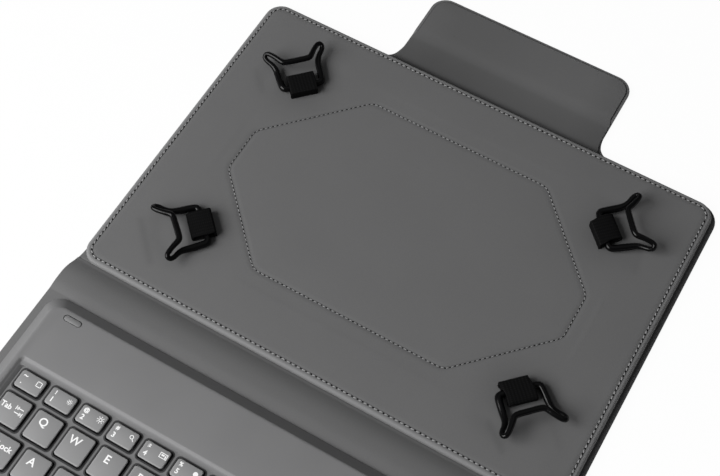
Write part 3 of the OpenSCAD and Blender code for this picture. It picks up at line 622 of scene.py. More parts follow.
def rounded_corners(points, cut, steps=4):
    """Closed run of points with every corner cut back and turned in a curve."""
    made = []
    for i, corner in enumerate(points):
        b = Vector(corner)
        a = b + (Vector(points[i - 1]) - b).normalized() * cut
        c = b + (Vector(points[(i + 1) % len(points)]) - b).normalized() * cut
        for s in range(steps + 1):
            t = s / steps
            made.append(a * (1 - t) ** 2 + b * 2 * t * (1 - t) + c * t * t)
    return made


OCTAGON = rounded_corners(OCTAGON_CORNERS, 3.5)
OCTAGON_SIDES = [(Vector(a), Vector(b)) for a, b in zip(OCTAGON, OCTAGON[1:] + OCTAGON[:1])]


def from_edge(x, y):
    """Distance inwards from the panel's rounded outline."""
    qx = abs(x) - (SLAB_W / 2 - SLAB_R)
    qy = abs(y - SLAB_Y) - (SLAB_D / 2 - SLAB_R)
    return SLAB_R - math.hypot(max(qx, 0), max(qy, 0)) - min(max(qx, qy), 0)


def from_stitches(x, y):
    """Distance from the nearest row of stitches."""
    p = Vector((x, y))
    near = abs(from_edge(x, y) - STITCH_IN)
    if abs(x) < 100 and 140 < y < 270:
        near = min(near, min(to_line(p, a, b) for a, b in OCTAGON_SIDES))
    return near


# Painted shade of the creases that the hooks have left in the lining, as two ends and how dark
HOOK_CREASE_SHADES = [(Vector(a), Vector(b), dark) for a, b, dark in (
    ((-114, 143), (-97, 126), 0.24), ((82.6, 135), (94, 125.5), 0.22), ((109, 147.5), (116, 140.5), 0.12),
    ((106, 251.5), (108, 240), 0.14), ((-113, 248.5), (-103, 238.5), 0.14))]


# Painted shade along the creases beside the hooks.
def hook_crease_shade(x, y):
    return sum(dark * bell(to_line(Vector((x, y)), a, b), 1.7) for a, b, dark in HOOK_CREASE_SHADES)


def dent_at(x, y):
    """Shallow ring that the ears of a lying hook have pressed into the foam."""
    dx, dy = abs(x) - HOOK_X, abs(y - SLAB_Y) - HOOK_DY
    out, aside = (dx + dy) * math.sqrt(0.5), (dy - dx) * math.sqrt(0.5)
    return 0.3 * eased(out / 12) * bell(math.hypot(out, aside) - 19, 5)


def pad_height(x, y):
    """How the lining lies over its thin foam: drawn down at the stitches, and full between them."""
    near = from_stitches(x, y)
    outside = max(0.0, 1 - from_edge(x, y) / STITCH_IN)
    return 0.16 * (1 - bell(near, 9)) - 0.34 * bell(near, 0.9) - 0.4 * outside - dent_at(x, y)


def pad_painted_light(x, y):
    """Painted light on the lining: painted shade along its stitches' grooves, round the hooks and in the
    creases beside them, and a painted highlight along its edge.
    """
    hook = math.hypot(abs(x) - HOOK_X, abs(y - SLAB_Y) - HOOK_DY)
    painted_highlight = eased((STITCH_IN - 0.4 - from_edge(x, y)) / 0.8)
    return 0.5 * bell(from_stitches(x, y), 0.6) + 0.4 * bell(hook, 15) - 0.65 * painted_highlight + hook_crease_shade(x, y)


PAD_CELLS = 232, 162
PAD_FOOT = SLAB_UNDER - SLAB_TOP
# Edge of the pad as (out, up): a quarter round, a seam drawn in, the side, and a hem under the board
PAD_EDGE = [(EDGE_R * math.sin(a), EDGE_R * (math.cos(a) - 1))
            for a in (math.radians(18 * i) for i in range(1, 6))]
PAD_EDGE += [(EDGE_R - 0.35, -EDGE_R - 0.25), (EDGE_R + 0.1, -EDGE_R - 0.5), (EDGE_R, PAD_FOOT + 0.25),
             (EDGE_R - 0.25, PAD_FOOT - 0.02), (EDGE_R - 6, PAD_FOOT - 0.02)]


def panel_pad():
    """Lining over thin foam: a grid rounded at its corners, with its border drawn down round the board."""
    bm = bmesh.new()
    w, d, r = SLAB_W - 2 * EDGE_R, SLAB_D - 2 * EDGE_R, SLAB_R - EDGE_R
    flat = mm_move(0, SLAB_Y, SLAB_TOP) @ Matrix.Diagonal((w / 2 * MM, d / 2 * MM, 1, 1))
    bmesh.ops.create_grid(bm, x_segments=PAD_CELLS[0], y_segments=PAD_CELLS[1], size=1, matrix=flat)
    for v in bm.verts:
        x, y = v.co.x / MM, v.co.y / MM - SLAB_Y
        cx, cy = math.copysign(w / 2 - r, x), math.copysign(d / 2 - r, y)
        if abs(x) > abs(cx) and abs(y) > abs(cy):
            a, b = (x - cx) / r, (y - cy) / r
            x, y = cx + r * a * math.sqrt(1 - b * b / 2), cy + r * b * math.sqrt(1 - a * a / 2)
        v.co = Vector((x * MM, (y + SLAB_Y) * MM, v.co.z))
    border = [e for e in bm.edges if e.is_boundary]
    out = {}
    for v in {v for e in border for v in e.verts}:
        x, y = v.co.x / MM, v.co.y / MM - SLAB_Y
        core = Vector((min(w / 2 - r, max(r - w / 2, x)), min(d / 2 - r, max(r - d / 2, y))))
        out[v] = (Vector((x, y)) - core).normalized()
    ways = {v: (v.co.copy(), n) for v, n in out.items()}
    for go, up in PAD_EDGE:
        border, ways = grown_from(bm, border, ways, lambda way: way[0] + Vector((*way[1] * go, up)) * MM)
    for v in bm.verts:
        if v.co.z > (SLAB_TOP - EDGE_R) * MM:
            share = (v.co.z / MM - SLAB_TOP + EDGE_R) / EDGE_R
            v.co.z += share * pad_height(v.co.x / MM, v.co.y / MM) * MM
    pad = place("panel_pad", bm, "panel", [PAD_LINING], smooth=60)
    paint_light_where(pad, lambda x, y, z: pad_painted_light(x, y) if z > SLAB_TOP - 1.3 else 0.0)
    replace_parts(pad, "panel_lining")


panel_pad()


def along(points, pitch):
    """Evenly spaced places, with their directions, along the straight runs of a closed path."""
    places, carry = [], pitch / 2
    for a, b in zip(points, points[1:] + points[:1]):
        a, b = Vector(a), Vector(b)
        length, way = (b - a).length, (b - a).normalized()
        while carry < length:
            places.append((a + way * carry, math.atan2(way.y, way.x)))
            carry += pitch
        carry -= length
    return places


def rounded_run(inset):
    """Points round the panel's outline at a distance inside it."""
    w, d, r = SLAB_W / 2 - SLAB_R, SLAB_D / 2 - SLAB_R, SLAB_R - inset
    points = []
    for corner, (sx, sy) in enumerate(((1, 1), (-1, 1), (-1, -1), (1, -1))):
        for i in range(7):
            a = math.radians(corner * 90 + i * 15)
            points.append((sx * w + r * math.cos(a), SLAB_Y + sy * d + r * math.sin(a)))
    return points


def repeated(shape, places):
    """One mesh of copies of a small bmesh, each at its matrix."""
    mesh = mesh_of("repeat", shape)
    bm = bmesh.new()
    for lie in places:
        mesh.transform(lie)
        bm.from_mesh(mesh)
        mesh.transform(lie.inverted())
    bpy.data.meshes.remove(mesh)
    return bm


# Rows of stitches: path, pitch, half thickness, how deep the thread lies, and half sizes of a needle hole
STITCH_ROWS = ((rounded_run(STITCH_IN), 2.75, 0.4, 0.16, (0.72, 0.42)),
               (OCTAGON, 2.45, 0.22, 0.24, (0.6, 0.32)))
THREAD_RISE, THREAD_SLANT, THREAD_REACH, HOLE_DEPTH = 0.27, 0.16, 0.37, 0.21


def panel_stitches():
    """Every stitch is a short slanting thread between two dark needle holes."""
    threads, holes = [], []
    for path, pitch, thick, sunk, (hole_w, hole_d) in STITCH_ROWS:
        for (x, y), turn in along(path, pitch):
            threads.append(mm_move(x, y, SLAB_TOP - sunk) @ turn_z(turn + THREAD_SLANT)
                           @ Matrix.Diagonal((pitch * THREAD_REACH * MM, thick * MM, THREAD_RISE * MM, 1)))
            holes.append(mm_move(x, y, SLAB_TOP - HOLE_DEPTH) @ turn_z(turn) @ mm_move(pitch / 2, 0)
                         @ Matrix.Diagonal((hole_w * MM, hole_d * MM, 0.1 * MM, 1)))
    thread, hole = bmesh.new(), bmesh.new()
    bmesh.ops.create_uvsphere(thread, u_segments=6, v_segments=5, radius=1,
                              matrix=Matrix.Rotation(math.pi / 2, 4, "Y"))
    bmesh.ops.create_uvsphere(hole, u_segments=8, v_segments=4, radius=1)
    for name, shape, places, finish in (("panel_threads", thread, threads, THREAD),
                                        ("needle_holes", hole, holes, NEEDLE_HOLE)):
        place(name, repeated(shape, places), "panel", [finish], smooth=80)


panel_stitches()


# Hooks on their elastic straps

SLIT_IN, STRAP_W, STRAP_T, STRAP_OUT = 5.0, 14.2, 1.15, 7.0
# One half of a hook's rod as (out, aside, up, radius): bar under the strap, side, ear out and back, front bar
HOOK_HALF = [(-0.4, 3.0, 2.3, 1.6), (-0.4, 8.4, 2.3, 1.7), (0.4, 10.4, 2.2, 1.8), (3.5, 10.8, 2.2, 1.8),
             (9.0, 11.0, 2.3, 1.8), (13.0, 11.3, 3.0, 1.65), (15.8, 12.8, 4.0, 1.4), (18.2, 15.0, 4.8, 1.3),
             (20.4, 15.5, 5.7, 1.25),
             (21.2, 13.8, 6.8, 1.25), (19.0, 11.6, 7.0, 1.3), (16.4, 9.6, 7.1, 1.4), (14.0, 8.0, 7.1, 1.5),
             (13.2, 7.1, 7.1, 1.55), (12.9, 5.8, 7.1, 1.55), (12.8, 3.6, 7.1, 1.55), (12.8, 1.2, 7.1, 1.55)]
# How each hook lies: how far its strap is slack, and its turn in degrees and shift to the side on the strap
LEAN = {"back_left": (0, 0, -0.4), "back_right": (0, -6, 1.5),
        "front_left": (1.5, 3, 0.2), "front_right": (0, 1, 1.4)}


def smooth_loop(points, steps):
    """Closed smooth curve that the points pull into shape."""
    n = len(points)
    made = []
    for i in range(n):
        a, b, c = points[i - 1], points[i], points[(i + 1) % n]
        for s in range(steps):
            t = s / steps
            made.append(a.lerp(b, 0.5) * (1 - t) ** 2 + b * 2 * t * (1 - t) + b.lerp(c, 0.5) * t * t)
    return made


def at_hook(sx, sy):
    """Frame of a hook: X outward along the strap, on the panel's face."""
    return mm_move(sx * HOOK_X, SLAB_Y + sy * HOOK_DY, SLAB_TOP) @ turn_z(math.atan2(sy, sx))


def hook_rod(name, node, lie):
    """Bent rod as a bevelled curve, made a mesh in its place."""
    other = [(u, -v, z, r) for u, v, z, r in reversed(HOOK_HALF)]
    points = smooth_loop([Vector(p) for p in HOOK_HALF + other], 5)
    curve = bpy.data.curves.new(name, "CURVE")
    curve.dimensions = "3D"
    curve.bevel_depth = MM
    curve.bevel_resolution = 4
    curve.twist_mode = "MINIMUM"
    spline = curve.splines.new("POLY")
    spline.points.add(len(points) - 1)
    for p, (u, v, z, r) in zip(spline.points, points):
        p.co = (u * MM, v * MM, z * MM, 1)
        p.radius = r
    spline.use_cyclic_u = True
    rough = linked(name + "_curve", curve)
    mesh = finished_mesh(rough)
    bpy.data.objects.remove(rough)
    bm = bmesh.new()
    bm.from_mesh(mesh)
    bpy.data.meshes.remove(mesh)
    bmesh.ops.transform(bm, matrix=lie, verts=bm.verts)
    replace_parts(place(name, bm, node, [HOOK_PLASTIC], smooth=80), node)


def strap_loop(name, node, lie, shift, finish):
    """Band of elastic from the slit over the hook's bar and back; the real strap stretches when the hook is
    pulled.
    """
    mid, high, low = 2.5, 4.8, 0.6
    round_slit, round_bar = 1.1, 1.9
    top = [(-SLIT_IN + 0.5 - round_slit * math.cos(a), high - round_slit + round_slit * math.sin(a))
           for a in (math.radians(18 * i) for i in range(6))]
    turn = [(STRAP_OUT - round_bar + round_bar * math.cos(a), mid + (high - low) / 2 * math.sin(a))
            for a in (math.radians(90 - 20 * i) for i in range(10))]
    path = [(top[0][0], -1.2), (top[0][0], 0.6), *top, (0.5, high + 0.1), (3.5, high + 0.08), *turn,
            (3, low), (-SLIT_IN + 1.6, low), (-SLIT_IN + 0.9, -0.1), (-SLIT_IN + 0.8, -1.2)]
    bm = bmesh.new()
    half = STRAP_W / 2 * MM
    row = [bm.verts.new((path[0][0] * MM, y, path[0][1] * MM)) for y in (-half, half)]
    bmesh.ops.subdivide_edges(bm, edges=[bm.edges.new(row)], cuts=6)
    edge = bm.edges[:]
    for (u0, z0), (u1, z1) in zip(path, path[1:]):
        made = bmesh.ops.extrude_edge_only(bm, edges=edge)["geom"]
        moved = [g for g in made if isinstance(g, BMVert)]
        bmesh.ops.translate(bm, verts=moved, vec=((u1 - u0) * MM, 0, (z1 - z0) * MM))
        edge = [g for g in made if isinstance(g, BMEdge) and all(v in moved for v in g.verts)]
    bmesh.ops.recalc_face_normals(bm, faces=bm.faces)
    bmesh.ops.solidify(bm, geom=bm.faces[:], thickness=STRAP_T * MM)
    rim = [e for e in bm.edges if all(abs(abs(v.co.y) - half) < 1e-6 for v in e.verts)
           and len(e.link_faces) == 2 and abs(e.calc_face_angle(0)) > 1.2]
    bmesh.ops.bevel(bm, geom=rim, offset=0.25 * MM, affect="EDGES", segments=2, profile=0.5, material=-1)
    for v in bm.verts:
        v.co.y += shift * MM * eased((v.co.x / MM + SLIT_IN) / SLIT_IN)
    bmesh.ops.transform(bm, matrix=lie, verts=bm.verts)
    obj = place(name, bm, None, [finish], smooth=50)
    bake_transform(obj)
    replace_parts(obj, node)


for end, sy in (("back", 1), ("front", -1)):
    for hand, sx in (("left", -1), ("right", 1)):
        slack, turn, shift = LEAN[f"{end}_{hand}"]
        lie = at_hook(sx, sy) @ mm_move(-slack, 0)
        leaning = lie @ mm_move(0, shift) @ turn_z(math.radians(turn))
        hook_rod(f"wire_hook_{end}_{hand}", f"hook_{end}_{hand}", leaning)
        strap_loop(f"elastic_{end}_{hand}", f"strap_{end}_{hand}", lie, shift,
                   WEAVE_RISING if sx * sy > 0 else WEAVE_FALLING)


# Keyboard

def applied_boolean(obj, bm):
    """Cuts the closed shapes of a bmesh out of a piece and keeps the result in its mesh."""
    cutter = linked("cutter", mesh_of("cutter", bm))
    cut = obj.modifiers.new("windows", "BOOLEAN")
    cut.object = cutter
    cut.solver = "EXACT"
    made = finished_mesh(obj)
    obj.modifiers.clear()
    old, obj.data = obj.data, made
    bpy.data.meshes.remove(old)
    bpy.data.objects.remove(cutter)
    obj.data.set_sharp_from_angle(angle=math.radians(30))


# Edge of the key well as growth of its width and depth at a drop from the deck; its back ends in a low foot
WELL_RIM = ((2.6, 1.6, 0.0), (1.5, 0.8, 0.08), (0.6, 0.1, 0.3), (-0.3, -0.8, 0.72), (-0.96, -1.8, 0.98),
            (-1.42, -3.4, 1.16), (-1.62, -6.0, 1.24), (-2.28, -6.4, 1.5))
# Shoulder round the deck as growth and drop, and the well's wall below its edge as growth and height
DECK_SHOULDER = ((2.6, 1.36), (1.5, 0.62), (0.5, 0.22), (-0.6, 0.05), (-1.9, 0.0))
WELL_FOOT = ((-5.2, 4.35), (-5.6, 3.95), (-3.2, 3.95), (2.4, 5.6))
# Button's place, its hole in the deck, and its flange and cap as width, depth, corner radius and height
BUTTON_AT, BUTTON_HOLE = (-109.4, 80.6), (10.0, 3.4, 1.69)
BUTTON_SIDE = ((11.2, 4.6, 2.29, 4.8), (11.2, 4.6, 2.29, 5.4), (9.4, 2.8, 1.39, 5.4), (9.4, 2.8, 1.39, 6.8),
               (9.2, 2.6, 1.29, 7.0), (8.8, 2.2, 1.09, 7.1))


def keyboard_shell():
    """Upper case: sloped skirt, rounded shoulder, deck and key well, with its wall inside."""
    bm = bmesh.new()
    mid, well = (0, KB_Y), (0, WELL_Y)
    sections = [(KB_W - 1.3, KB_D - 1.3, KB_R - 0.6, KB_UNDER, mid), (KB_W, KB_D, KB_R, 2.15, mid),
                (KB_W - 0.5, KB_D - 0.5, KB_R - 0.2, 2.5, mid)]
    for grow, drop in DECK_SHOULDER:
        sections.append((DECK_W + grow, DECK_D + grow, DECK_R + grow / 2, DECK_Z - drop, mid))
    for wide, deep, drop in WELL_RIM:
        sections.append((WELL_W + wide, WELL_D + deep, WELL_R + wide / 2, DECK_Z - drop, well))
    for grow, z in WELL_FOOT:
        sections.append((WELL_W + grow, WELL_D + grow, WELL_R, z, well))
    sections.append((DECK_W - 2.4, DECK_D - 2.4, DECK_R - 1.2, 5.6, mid))
    sections += [(KB_W - 2.4, KB_D - 2.4, KB_R - 1.2, z, mid) for z in (2.6, KB_UNDER)]
    loft(bm, sections + sections[:1], ends=False)
    shell = place("keyboard_shell", bm, "base", [CASE_PLASTIC], smooth=30)
    windows = bmesh.new()
    loft(windows, [(*BUTTON_HOLE, z, BUTTON_AT) for z in (5, 8)])
    (_, front, low), (side, back, high) = box_of("charging_socket")
    at = (side, (front + back) / 2)
    loft(windows, [(9, back - front + 0.8, 0.4, z, at) for z in (low - 0.4, high + 0.4)])
    bmesh.ops.recalc_face_normals(windows, faces=windows.faces)
    applied_boolean(shell, windows)
    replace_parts(shell, "top_case")


def pairing_button():
    bm = bmesh.new()
    loft(bm, [(*section, BUTTON_AT) for section in BUTTON_SIDE])
    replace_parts(place("pairing_cap", bm, "pairing_button", [CASE_PLASTIC]), "pairing_button")


keyboard_shell()
pairing_button()

# Keys: rows as in the solids
KEY_W, KEY_D, SHORT_W, SHORT_D, GAP = 13.95, 14.4, 13.55, 8.9, 3.5
KEY_UNDER, KEY_TOP = 5.5, 7.3
PITCH, PITCH_Y = KEY_W + GAP, KEY_D + GAP
LEFT, RIGHT = -114.3, 114.3
FIELD_BACK = 49.6


def row_of(widths):
    """Keys as (left edge, width); the last one runs to the right end of the field."""
    keys, x = [], LEFT
    for w in widths:
        keys.append((x, w))
        x += w + GAP
    return keys + [(x, RIGHT - x)]


def letter_y(row):
    return FIELD_BACK - SHORT_D - GAP - KEY_D / 2 - row * PITCH_Y


number_row = row_of([SHORT_W] * 12)
upper_row = row_of([14.5] + [KEY_W] * 11)
middle_row = row_of([21.1] + [KEY_W] * 10)
lower_row = row_of([29.8] + [KEY_W] * 10)
ARROW_W = 9.9
arrow_x = [RIGHT - ARROW_W - (2 - i) * (ARROW_W + GAP) for i in range(3)]
left_row = [(LEFT + i * PITCH, KEY_W) for i in range(4)]
right_row = [(arrow_x[0] - (2 - i) * PITCH, KEY_W) for i in range(2)]
space_x = LEFT + 4 * PITCH
space_key = (space_x, right_row[0][0] - GAP - space_x)
half_d = (KEY_D - 0.8) / 2
half_y = (half_d + 0.8) / 2

NUMBER_Y = FIELD_BACK - SHORT_D / 2
# Letters on the keys, each with its size and its place from the middle of the key
BIG, MEDIUM, SMALL, TINY = 5.5, 3.7, 3.5, 2.7


def letter(text):
    return [(text, BIG, -1.6, 2.4)]


def number(digit, sign):
    return [(digit, SMALL, -4.1, -1.6), (sign, TINY, -4.1, 2.1)]


number_signs = [number(d, s) for d, s in zip("1234567890-", "!@#$%^&*()_")]
letters_up = [letter(c) for c in "QWERTYUIOP[]"]
letters_mid = [letter(c) for c in "ASDFGHJKL;"]
letters_low = [letter(c) for c in "ZXCVBNM,./"]


def keyed(xw, y, d, legends, icon=None):
    return {"x": xw[0], "w": xw[1], "y": y, "d": d, "legends": legends, "icon": icon}


def keys_along(row, y, d, legends, icons=()):
    """Keys of one row with their print; icons are those of its first keys."""
    icons = [*icons] + [None] * (len(row) - len(icons))
    return [keyed(xw, y, d, printed, icon) for xw, printed, icon in zip(row, legends, icons)]


number_keys = keys_along(
    number_row, NUMBER_Y, SHORT_D,
    [[("~", 3.8, -3.8, 2.1), (".", SMALL, -4.1, -1.2)], *number_signs, [("Back", TINY, 0, 0)]],
    ["frame", "sun_small", "sun", "lens", "panel", "globe", "note", "frame", "lens", "panel", "globe",
     "sun_small"])
upper_keys = keys_along(upper_row, letter_y(0), KEY_D, [[("Tab", MEDIUM, -3.4, 1.0)], *letters_up], ["tabs"])
middle_keys = keys_along(middle_row, letter_y(1), KEY_D,
                         [[("Caps Lock", 4.0, 0.1, 1.9)], *letters_mid, [("Enter", MEDIUM, -6, 1.9)]])
lower_keys = keys_along(lower_row, letter_y(2), KEY_D,
                        [[("Shift", MEDIUM, -8, 1.4)], *letters_low, [("Shift", MEDIUM, -2, 1.4)]])
control_keys = keys_along(left_row + right_row, letter_y(3), KEY_D,
                          [[(t, MEDIUM, -1.2, 1.6)] for t in ("Ctrl", "Fn", "Cmd", "Alt", "Alt", "Ctrl")])
space_bar = keyed(space_key, letter_y(3), KEY_D, [])
arrow_caps = [keyed((arrow_x[i], ARROW_W), letter_y(3) + up, d, [(sign, size, 0, dy)])
              for i, up, d, sign, size, dy in (
                  (0, 0, KEY_D, "<", MEDIUM, 0), (2, 0, KEY_D, ">", MEDIUM, 0),
                  (1, half_y, half_d, "^", MEDIUM, -0.6), (1, -half_y, half_d, "v", SMALL, 0))]

KEYS = {
    "key_backquote": number_keys[:1], "key_1": number_keys[1:2], "key_2": number_keys[2:3],
    "key_3": number_keys[3:4], "key_4": number_keys[4:5], "number_keys_right": number_keys[5:12],
    "key_backspace": number_keys[12:], "key_tab": upper_keys[:1], "key_q": upper_keys[1:2],
    "key_w_letter": upper_keys[2:3], "key_e": upper_keys[3:4], "upper_letter_keys": upper_keys[4:],
    "key_caps_lock": middle_keys[:1], "key_a": middle_keys[1:2], "middle_letter_keys": middle_keys[2:11],
    "key_enter": middle_keys[11:], "key_shift_left": lower_keys[:1], "lower_letter_keys": lower_keys[1:11],
    "key_shift_right": lower_keys[11:], "key_space": [space_bar], "modifier_keys": control_keys,
    "arrow_keys": arrow_caps}


def middle_of(key):
    return key["x"] + key["w"] / 2, key["y"]


# Side of a cap above its rim, as growth and drop from the top
KEY_EDGE = ((0.0, 0.95), (-0.06, 0.45), (-0.3, 0.2), (-0.66, 0.06), (-1.1, 0.0))


def key_cap(bm, key):
    """Cap with a narrow foot, an overhanging rim and a soft edge round its flat top."""
    at, w, d = middle_of(key), key["w"], key["d"]
    sections = [(w - 2.2, d - 2.2, 0.5, z, at) for z in (KEY_UNDER, KEY_UNDER + 0.55)]
    sections.append((w - 0.3, d - 0.3, 1.3, KEY_UNDER + 0.6, at))
    for grow, drop in KEY_EDGE:
        sections.append((w + grow, d + grow, 1.45 + grow / 2, KEY_TOP - drop, at))
    loft(bm, sections, steps=5)


INK_Z = KEY_TOP + 0.015
# How much bigger signs are drawn than icon gives them, and their place on a key, and that of the Tab arrows
ICON_SIZE, ICON_X, ICON_Y, TABS_X = 1.2, 4.0, 1.2, 3.4
# Order of a cap's finishes; the last is painted shade on the lower sides
TOP_FINISH, INK_FINISH, SIDE_SHADE_FINISH = 0, 1, 2


def flat_ring(bm, x, y, r, inner, segments=16):
    """Printed ring, or disc where inner is 0."""
    at = mm_move(x, y, INK_Z)
    made = bmesh.ops.create_circle(bm, cap_ends=inner == 0, segments=segments, radius=r * MM,
                                   matrix=at)["verts"]
    if inner:
        hole = bmesh.ops.create_circle(bm, segments=segments, radius=inner * MM, matrix=at)["verts"]
        bmesh.ops.bridge_loops(bm, edges=list({e for v in made + hole for e in v.link_edges}))


def flat_bar(bm, x, y, w, d, turn=0.0):
    lie = mm_move(x, y, INK_Z) @ turn_z(math.radians(turn)) @ Matrix.Diagonal((w / 2 * MM, d / 2 * MM, 1, 1))
    bmesh.ops.create_grid(bm, x_segments=1, y_segments=1, size=1, matrix=lie)


def icon(bm, kind, x, y):
    """Small generic sign printed on a key."""
    if kind == "frame":
        for sx in (-1, 1):
            flat_bar(bm, x + sx * 1.0, y, 0.32, 2.3)
            flat_bar(bm, x, y + sx * 1.0, 2.0, 0.32)
    elif kind in ("sun", "sun_small"):
        size = 1.0 if kind == "sun" else 0.75
        flat_ring(bm, x, y, 0.75 * size, 0.45 * size)
        for i in range(8):
            a = math.radians(45 * i)
            flat_bar(bm, x + 1.25 * size * math.cos(a), y + 1.25 * size * math.sin(a), 0.6 * size, 0.25,
                     45 * i)
    elif kind == "lens":
        flat_ring(bm, x - 0.2, y + 0.3, 0.85, 0.55)
        flat_bar(bm, x + 0.75, y - 0.75, 1.1, 0.32, -48)
    elif kind == "panel":
        for sy in (-1, 1):
            flat_bar(bm, x, y + sy * 0.95, 3.3, 0.3)
            flat_bar(bm, x + sy * 1.5, y, 0.3, 1.6)
        flat_bar(bm, x - 0.3, y + 0.2, 1.3, 0.7)
        flat_bar(bm, x + 0.9, y - 0.1, 0.5, 1.1)
    elif kind == "globe":
        flat_ring(bm, x, y, 1.0, 0)
    elif kind == "note":
        flat_ring(bm, x - 0.5, y - 0.7, 0.55, 0)
        flat_bar(bm, x - 0.05, y + 0.3, 0.26, 2.0)
        flat_bar(bm, x + 0.4, y + 1.2, 0.9, 0.3, -20)
    elif kind == "tabs":
        for side in (-1, 1):
            flat_bar(bm, x, y + side * 1.2, 3.8, 0.42)
            flat_bar(bm, x - side * 2.1, y + side * 1.2, 0.42, 2.0)
            for turn in (-1, 1):
                flat_bar(bm, x + side * -1.2, y + side * 1.2 + turn * 0.4, 1.2, 0.38, side * turn * 38)


def text_meshes(words):
    """Meshes of printed words, each centred on the origin; all are set at once, as each update costs time."""
    made, sources = {}, {}
    for words_size in sorted(set(words)):
        text, size = words_size
        font = bpy.data.curves.new("legend", "FONT")
        font.body, font.size = text, size * MM
        font.align_x, font.align_y = "CENTER", "CENTER"
        font.resolution_u = 3
        font.offset = 0.1 * MM
        sources[words_size] = linked("legend", font)
    bpy.context.view_layer.update()
    ready = bpy.context.evaluated_depsgraph_get()
    for words_size, source in sources.items():
        made[words_size] = bpy.data.meshes.new_from_object(source.evaluated_get(ready))
    for source in sources.values():
        bpy.data.objects.remove(source)
    return made


def print_key(bm, key, printed):
    """Adds a key's words and its sign, as open faces on its top."""
    cx, cy = middle_of(key)
    for text, size, dx, dy in key["legends"]:
        before = set(bm.verts)
        bm.from_mesh(printed[text, size])
        fresh = [v for v in bm.verts if v not in before]
        bmesh.ops.translate(bm, verts=fresh, vec=((cx + dx) * MM, (cy + dy) * MM, INK_Z * MM))
    if key["icon"] == "tabs":
        icon(bm, "tabs", cx + TABS_X, cy + ICON_Y)
    elif key["icon"]:
        before = set(bm.verts)
        icon(bm, key["icon"], cx + ICON_X, cy + ICON_Y)
        bmesh.ops.scale(bm, vec=(ICON_SIZE, ICON_SIZE, 1), verts=[v for v in bm.verts if v not in before],
                        space=mm_move(-(cx + ICON_X), -(cy + ICON_Y)))


def all_keys():
    """Caps of every node with their print, which faces up and stays flat."""
    printed = text_meshes([(t, s) for keys in KEYS.values() for k in keys for t, s, *_ in k["legends"]])
    for node, keys in KEYS.items():
        bm = bmesh.new()
        for key in keys:
            key_cap(bm, key)
        bmesh.ops.recalc_face_normals(bm, faces=bm.faces)
        caps = set(bm.faces)
        for f in caps:
            # The sides below the top take painted shade.
            low = f.calc_center_median().z < (KEY_TOP - 0.4) * MM
            f.material_index = SIDE_SHADE_FINISH if low else TOP_FINISH
        for key in keys:
            print_key(bm, key, printed)
        for f in bm.faces:
            f.smooth = f in caps
            if f not in caps:
                f.material_index = INK_FINISH
                if f.normal.z < 0:
                    f.normal_flip()
        made = finish_piece("cap_" + node, bm, node, (KEY_PLASTIC, LEGEND_INK, KEY_SHADE), 30)
        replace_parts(made, node)
    for mesh in printed.values():
        bpy.data.meshes.remove(mesh)


all_keys()


# Lip of painted shade round a window as (out from the cap, up from the grid's face)
WINDOW_SHADE_LIP = ((0.5, -0.3), (0.5, 0.03), (0.75, 0.05), (1.3, 0.02), (1.3, -0.3))


def window_shade_lips():
    """Dark lip of painted shade round every key's window in the grid; two small arrows share one window."""
    face = box_of("key_grid")[1][2]
    bm = bmesh.new()
    windows = [key for keys in KEYS.values() for key in keys if key["d"] != half_d]
    windows.append(keyed((arrow_x[1], ARROW_W), letter_y(3), KEY_D, []))
    for key in windows:
        lip = [(key["w"] + 2 * out, key["d"] + 2 * out, 0.9 + out, face + up, middle_of(key))
               for out, up in WINDOW_SHADE_LIP]
        loft(bm, lip + lip[:1], steps=4, ends=False)
    place("window_shade_lips", bm, "base", [KEY_SHADE], smooth=40)


window_shade_lips()

# Radius of a rubber dome at shares of its height
DOME_SIDE = ((2.8, 0.0), (2.74, 0.12), (2.5, 0.45), (2.2, 0.75), (2.02, 0.93), (1.86, 1.0))
WEB_T, WEB_R = 0.4, 2


def rubber_domes():
    """Rubber sheet under the keys, with a dome under each key; the domes give way as their keys go down, but
    are drawn standing.
    """
    (left, front, under), (right, back, top) = box_of("dome_sheet")
    foot, at = under + WEB_T, ((left + right) / 2, (front + back) / 2)
    bm = bmesh.new()
    loft(bm, [(right - left, back - front, WEB_R, z, at) for z in (under, foot)])
    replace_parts(place("dome_web", bm, "base", [DOME_RUBBER]), "dome_sheet")
    for node, keys in KEYS.items():
        bm = bmesh.new()
        for key in keys:
            loft(bm, [(2 * r, 2 * r, r, foot + share * (top - foot), middle_of(key))
                      for r, share in DOME_SIDE], steps=5)
        domes = place("domes_" + node, bm, "base", [DOME_RUBBER])
        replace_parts(domes, "dome_sheet")
        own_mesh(domes)


rubber_domes()


# Solids that stay as they are

def dress(finish, *nodes):
    for n in nodes:
        mesh = frame["nodes"][n].data
        mesh.materials.clear()
        mesh.materials.append(finish)


dress(CASE_PLASTIC, "bottom_case")
dress(GRID_PLASTIC, "key_grid")
dress(CONTACT_FILM, "membrane")
dress(PLAIN_STEEL, "case_screws", "support_plate", "closure_plates", "charging_socket", "strip_magnets",
      "panel_magnets", "flap_magnets")
dress(SOLDER_MASK, "main_board")
dress(BATTERY_FOIL, "battery")
dress(COVER_LINING, "rear_upper_board", "panel_board")
dress(COVER_SKIN, "flap_board")


# Floor, light and camera

FLOOR_GLOW, FLOOR_HALF, FLOOR_DROP, WORLD_LIGHT = 0.96, 40, 0.4, 0.1


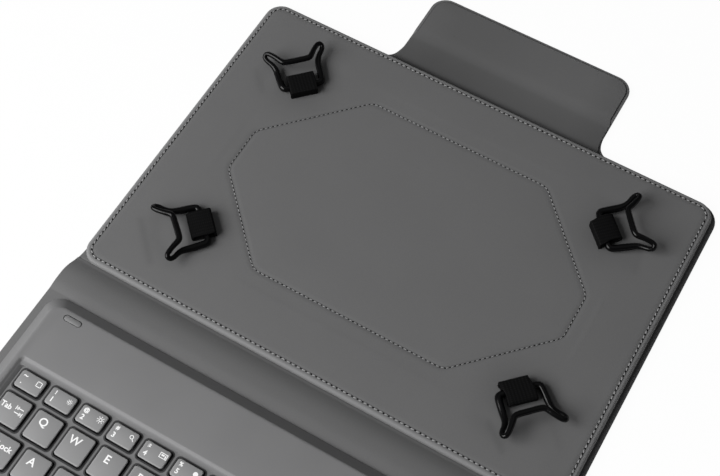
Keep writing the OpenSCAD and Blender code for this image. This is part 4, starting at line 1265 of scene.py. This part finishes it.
def studio():
    """Pale floor, seen as white by the camera and in reflections, with an even light from all round."""
    scene = bpy.context.scene
    scene.view_settings.view_transform = "Standard"
    world = bpy.data.worlds.new("studio")
    world.use_nodes = True
    tree = world.node_tree
    wire(tree, tree.nodes["Background"], [("Color", (1, 1, 1, 1)), ("Strength", WORLD_LIGHT)])
    scene.world = world
    bm = bmesh.new()
    bmesh.ops.create_grid(bm, x_segments=1, y_segments=1, size=FLOOR_HALF,
                          matrix=mm_move(0, 100, -FLOOR_DROP))
    floor = linked("floor", mesh_of("floor", bm))
    white = bpy.data.materials.new("white_floor")
    white.use_nodes = True
    tree = white.node_tree
    shader = wire(tree, tree.nodes["Principled BSDF"],
                  [("Base Color", (0.86, 0.86, 0.86, 1)), ("Roughness", 0.9)])
    glow = add(tree, "ShaderNodeEmission", [("Color", (1, 1, 1, 1)), ("Strength", 1.0)])
    path = add(tree, "ShaderNodeLightPath")
    seen = math_node(tree, "MAXIMUM", path.outputs["Is Camera Ray"], path.outputs["Is Glossy Ray"])
    seen = math_node(tree, "MAXIMUM", seen, path.outputs["Is Transmission Ray"])
    share = math_node(tree, "MULTIPLY", seen, FLOOR_GLOW)
    mixed = add(tree, "ShaderNodeMixShader", [(0, share), (1, shader.outputs[0]), (2, glow.outputs[0])])
    tree.links.new(mixed.outputs[0], tree.nodes["Material Output"].inputs["Surface"])
    floor.data.materials.append(white)


def soft_box(name, at, towards, size, power):
    light = bpy.data.lights.new(name, "AREA")
    light.shape = "RECTANGLE"
    light.size, light.size_y = size
    light.energy = power
    obj = linked(name, light)
    obj.location = at
    obj.rotation_mode = "QUATERNION"
    obj.rotation_quaternion = (Vector(towards) - Vector(at)).to_track_quat("-Z", "Y")


# Camera: azimuth, elevation and roll in degrees, place in metres, and lens
VIEW_TURN, VIEW_RISE, VIEW_ROLL = 28.22, 60.72, 1.94
VIEW_FROM, VIEW_LENS = (0.14055, -0.1030, 0.5954), 69.25


def camera():
    """Stands where the photograph was taken from."""
    az, el, roll = (math.radians(a) for a in (VIEW_TURN, VIEW_RISE, VIEW_ROLL))
    back = Vector((math.sin(az) * math.cos(el), -math.cos(az) * math.cos(el), math.sin(el)))
    right = Vector((math.cos(az), math.sin(az), 0))
    up = back.cross(right)
    across = right * math.cos(roll) + up * math.sin(roll)
    over = up * math.cos(roll) - right * math.sin(roll)
    data = bpy.data.cameras.new("camera")
    data.lens, data.sensor_width, data.sensor_fit = VIEW_LENS, 36.0, "HORIZONTAL"
    data.clip_start, data.clip_end = 0.01, 20
    obj = linked("camera", data)
    turn = Matrix((across, over, back)).transposed().to_4x4()
    obj.matrix_world = Matrix.Translation(VIEW_FROM) @ turn
    bpy.context.scene.camera = obj


studio()
LIT_AT = (0, 0.14, 0)
soft_box("front_box", (-0.74, -0.66, 0.80), LIT_AT, (1.2, 0.9), 30.4)
soft_box("top_box", (-0.1, 0.4, 1.5), LIT_AT, (1.4, 1.4), 1.2)
camera()
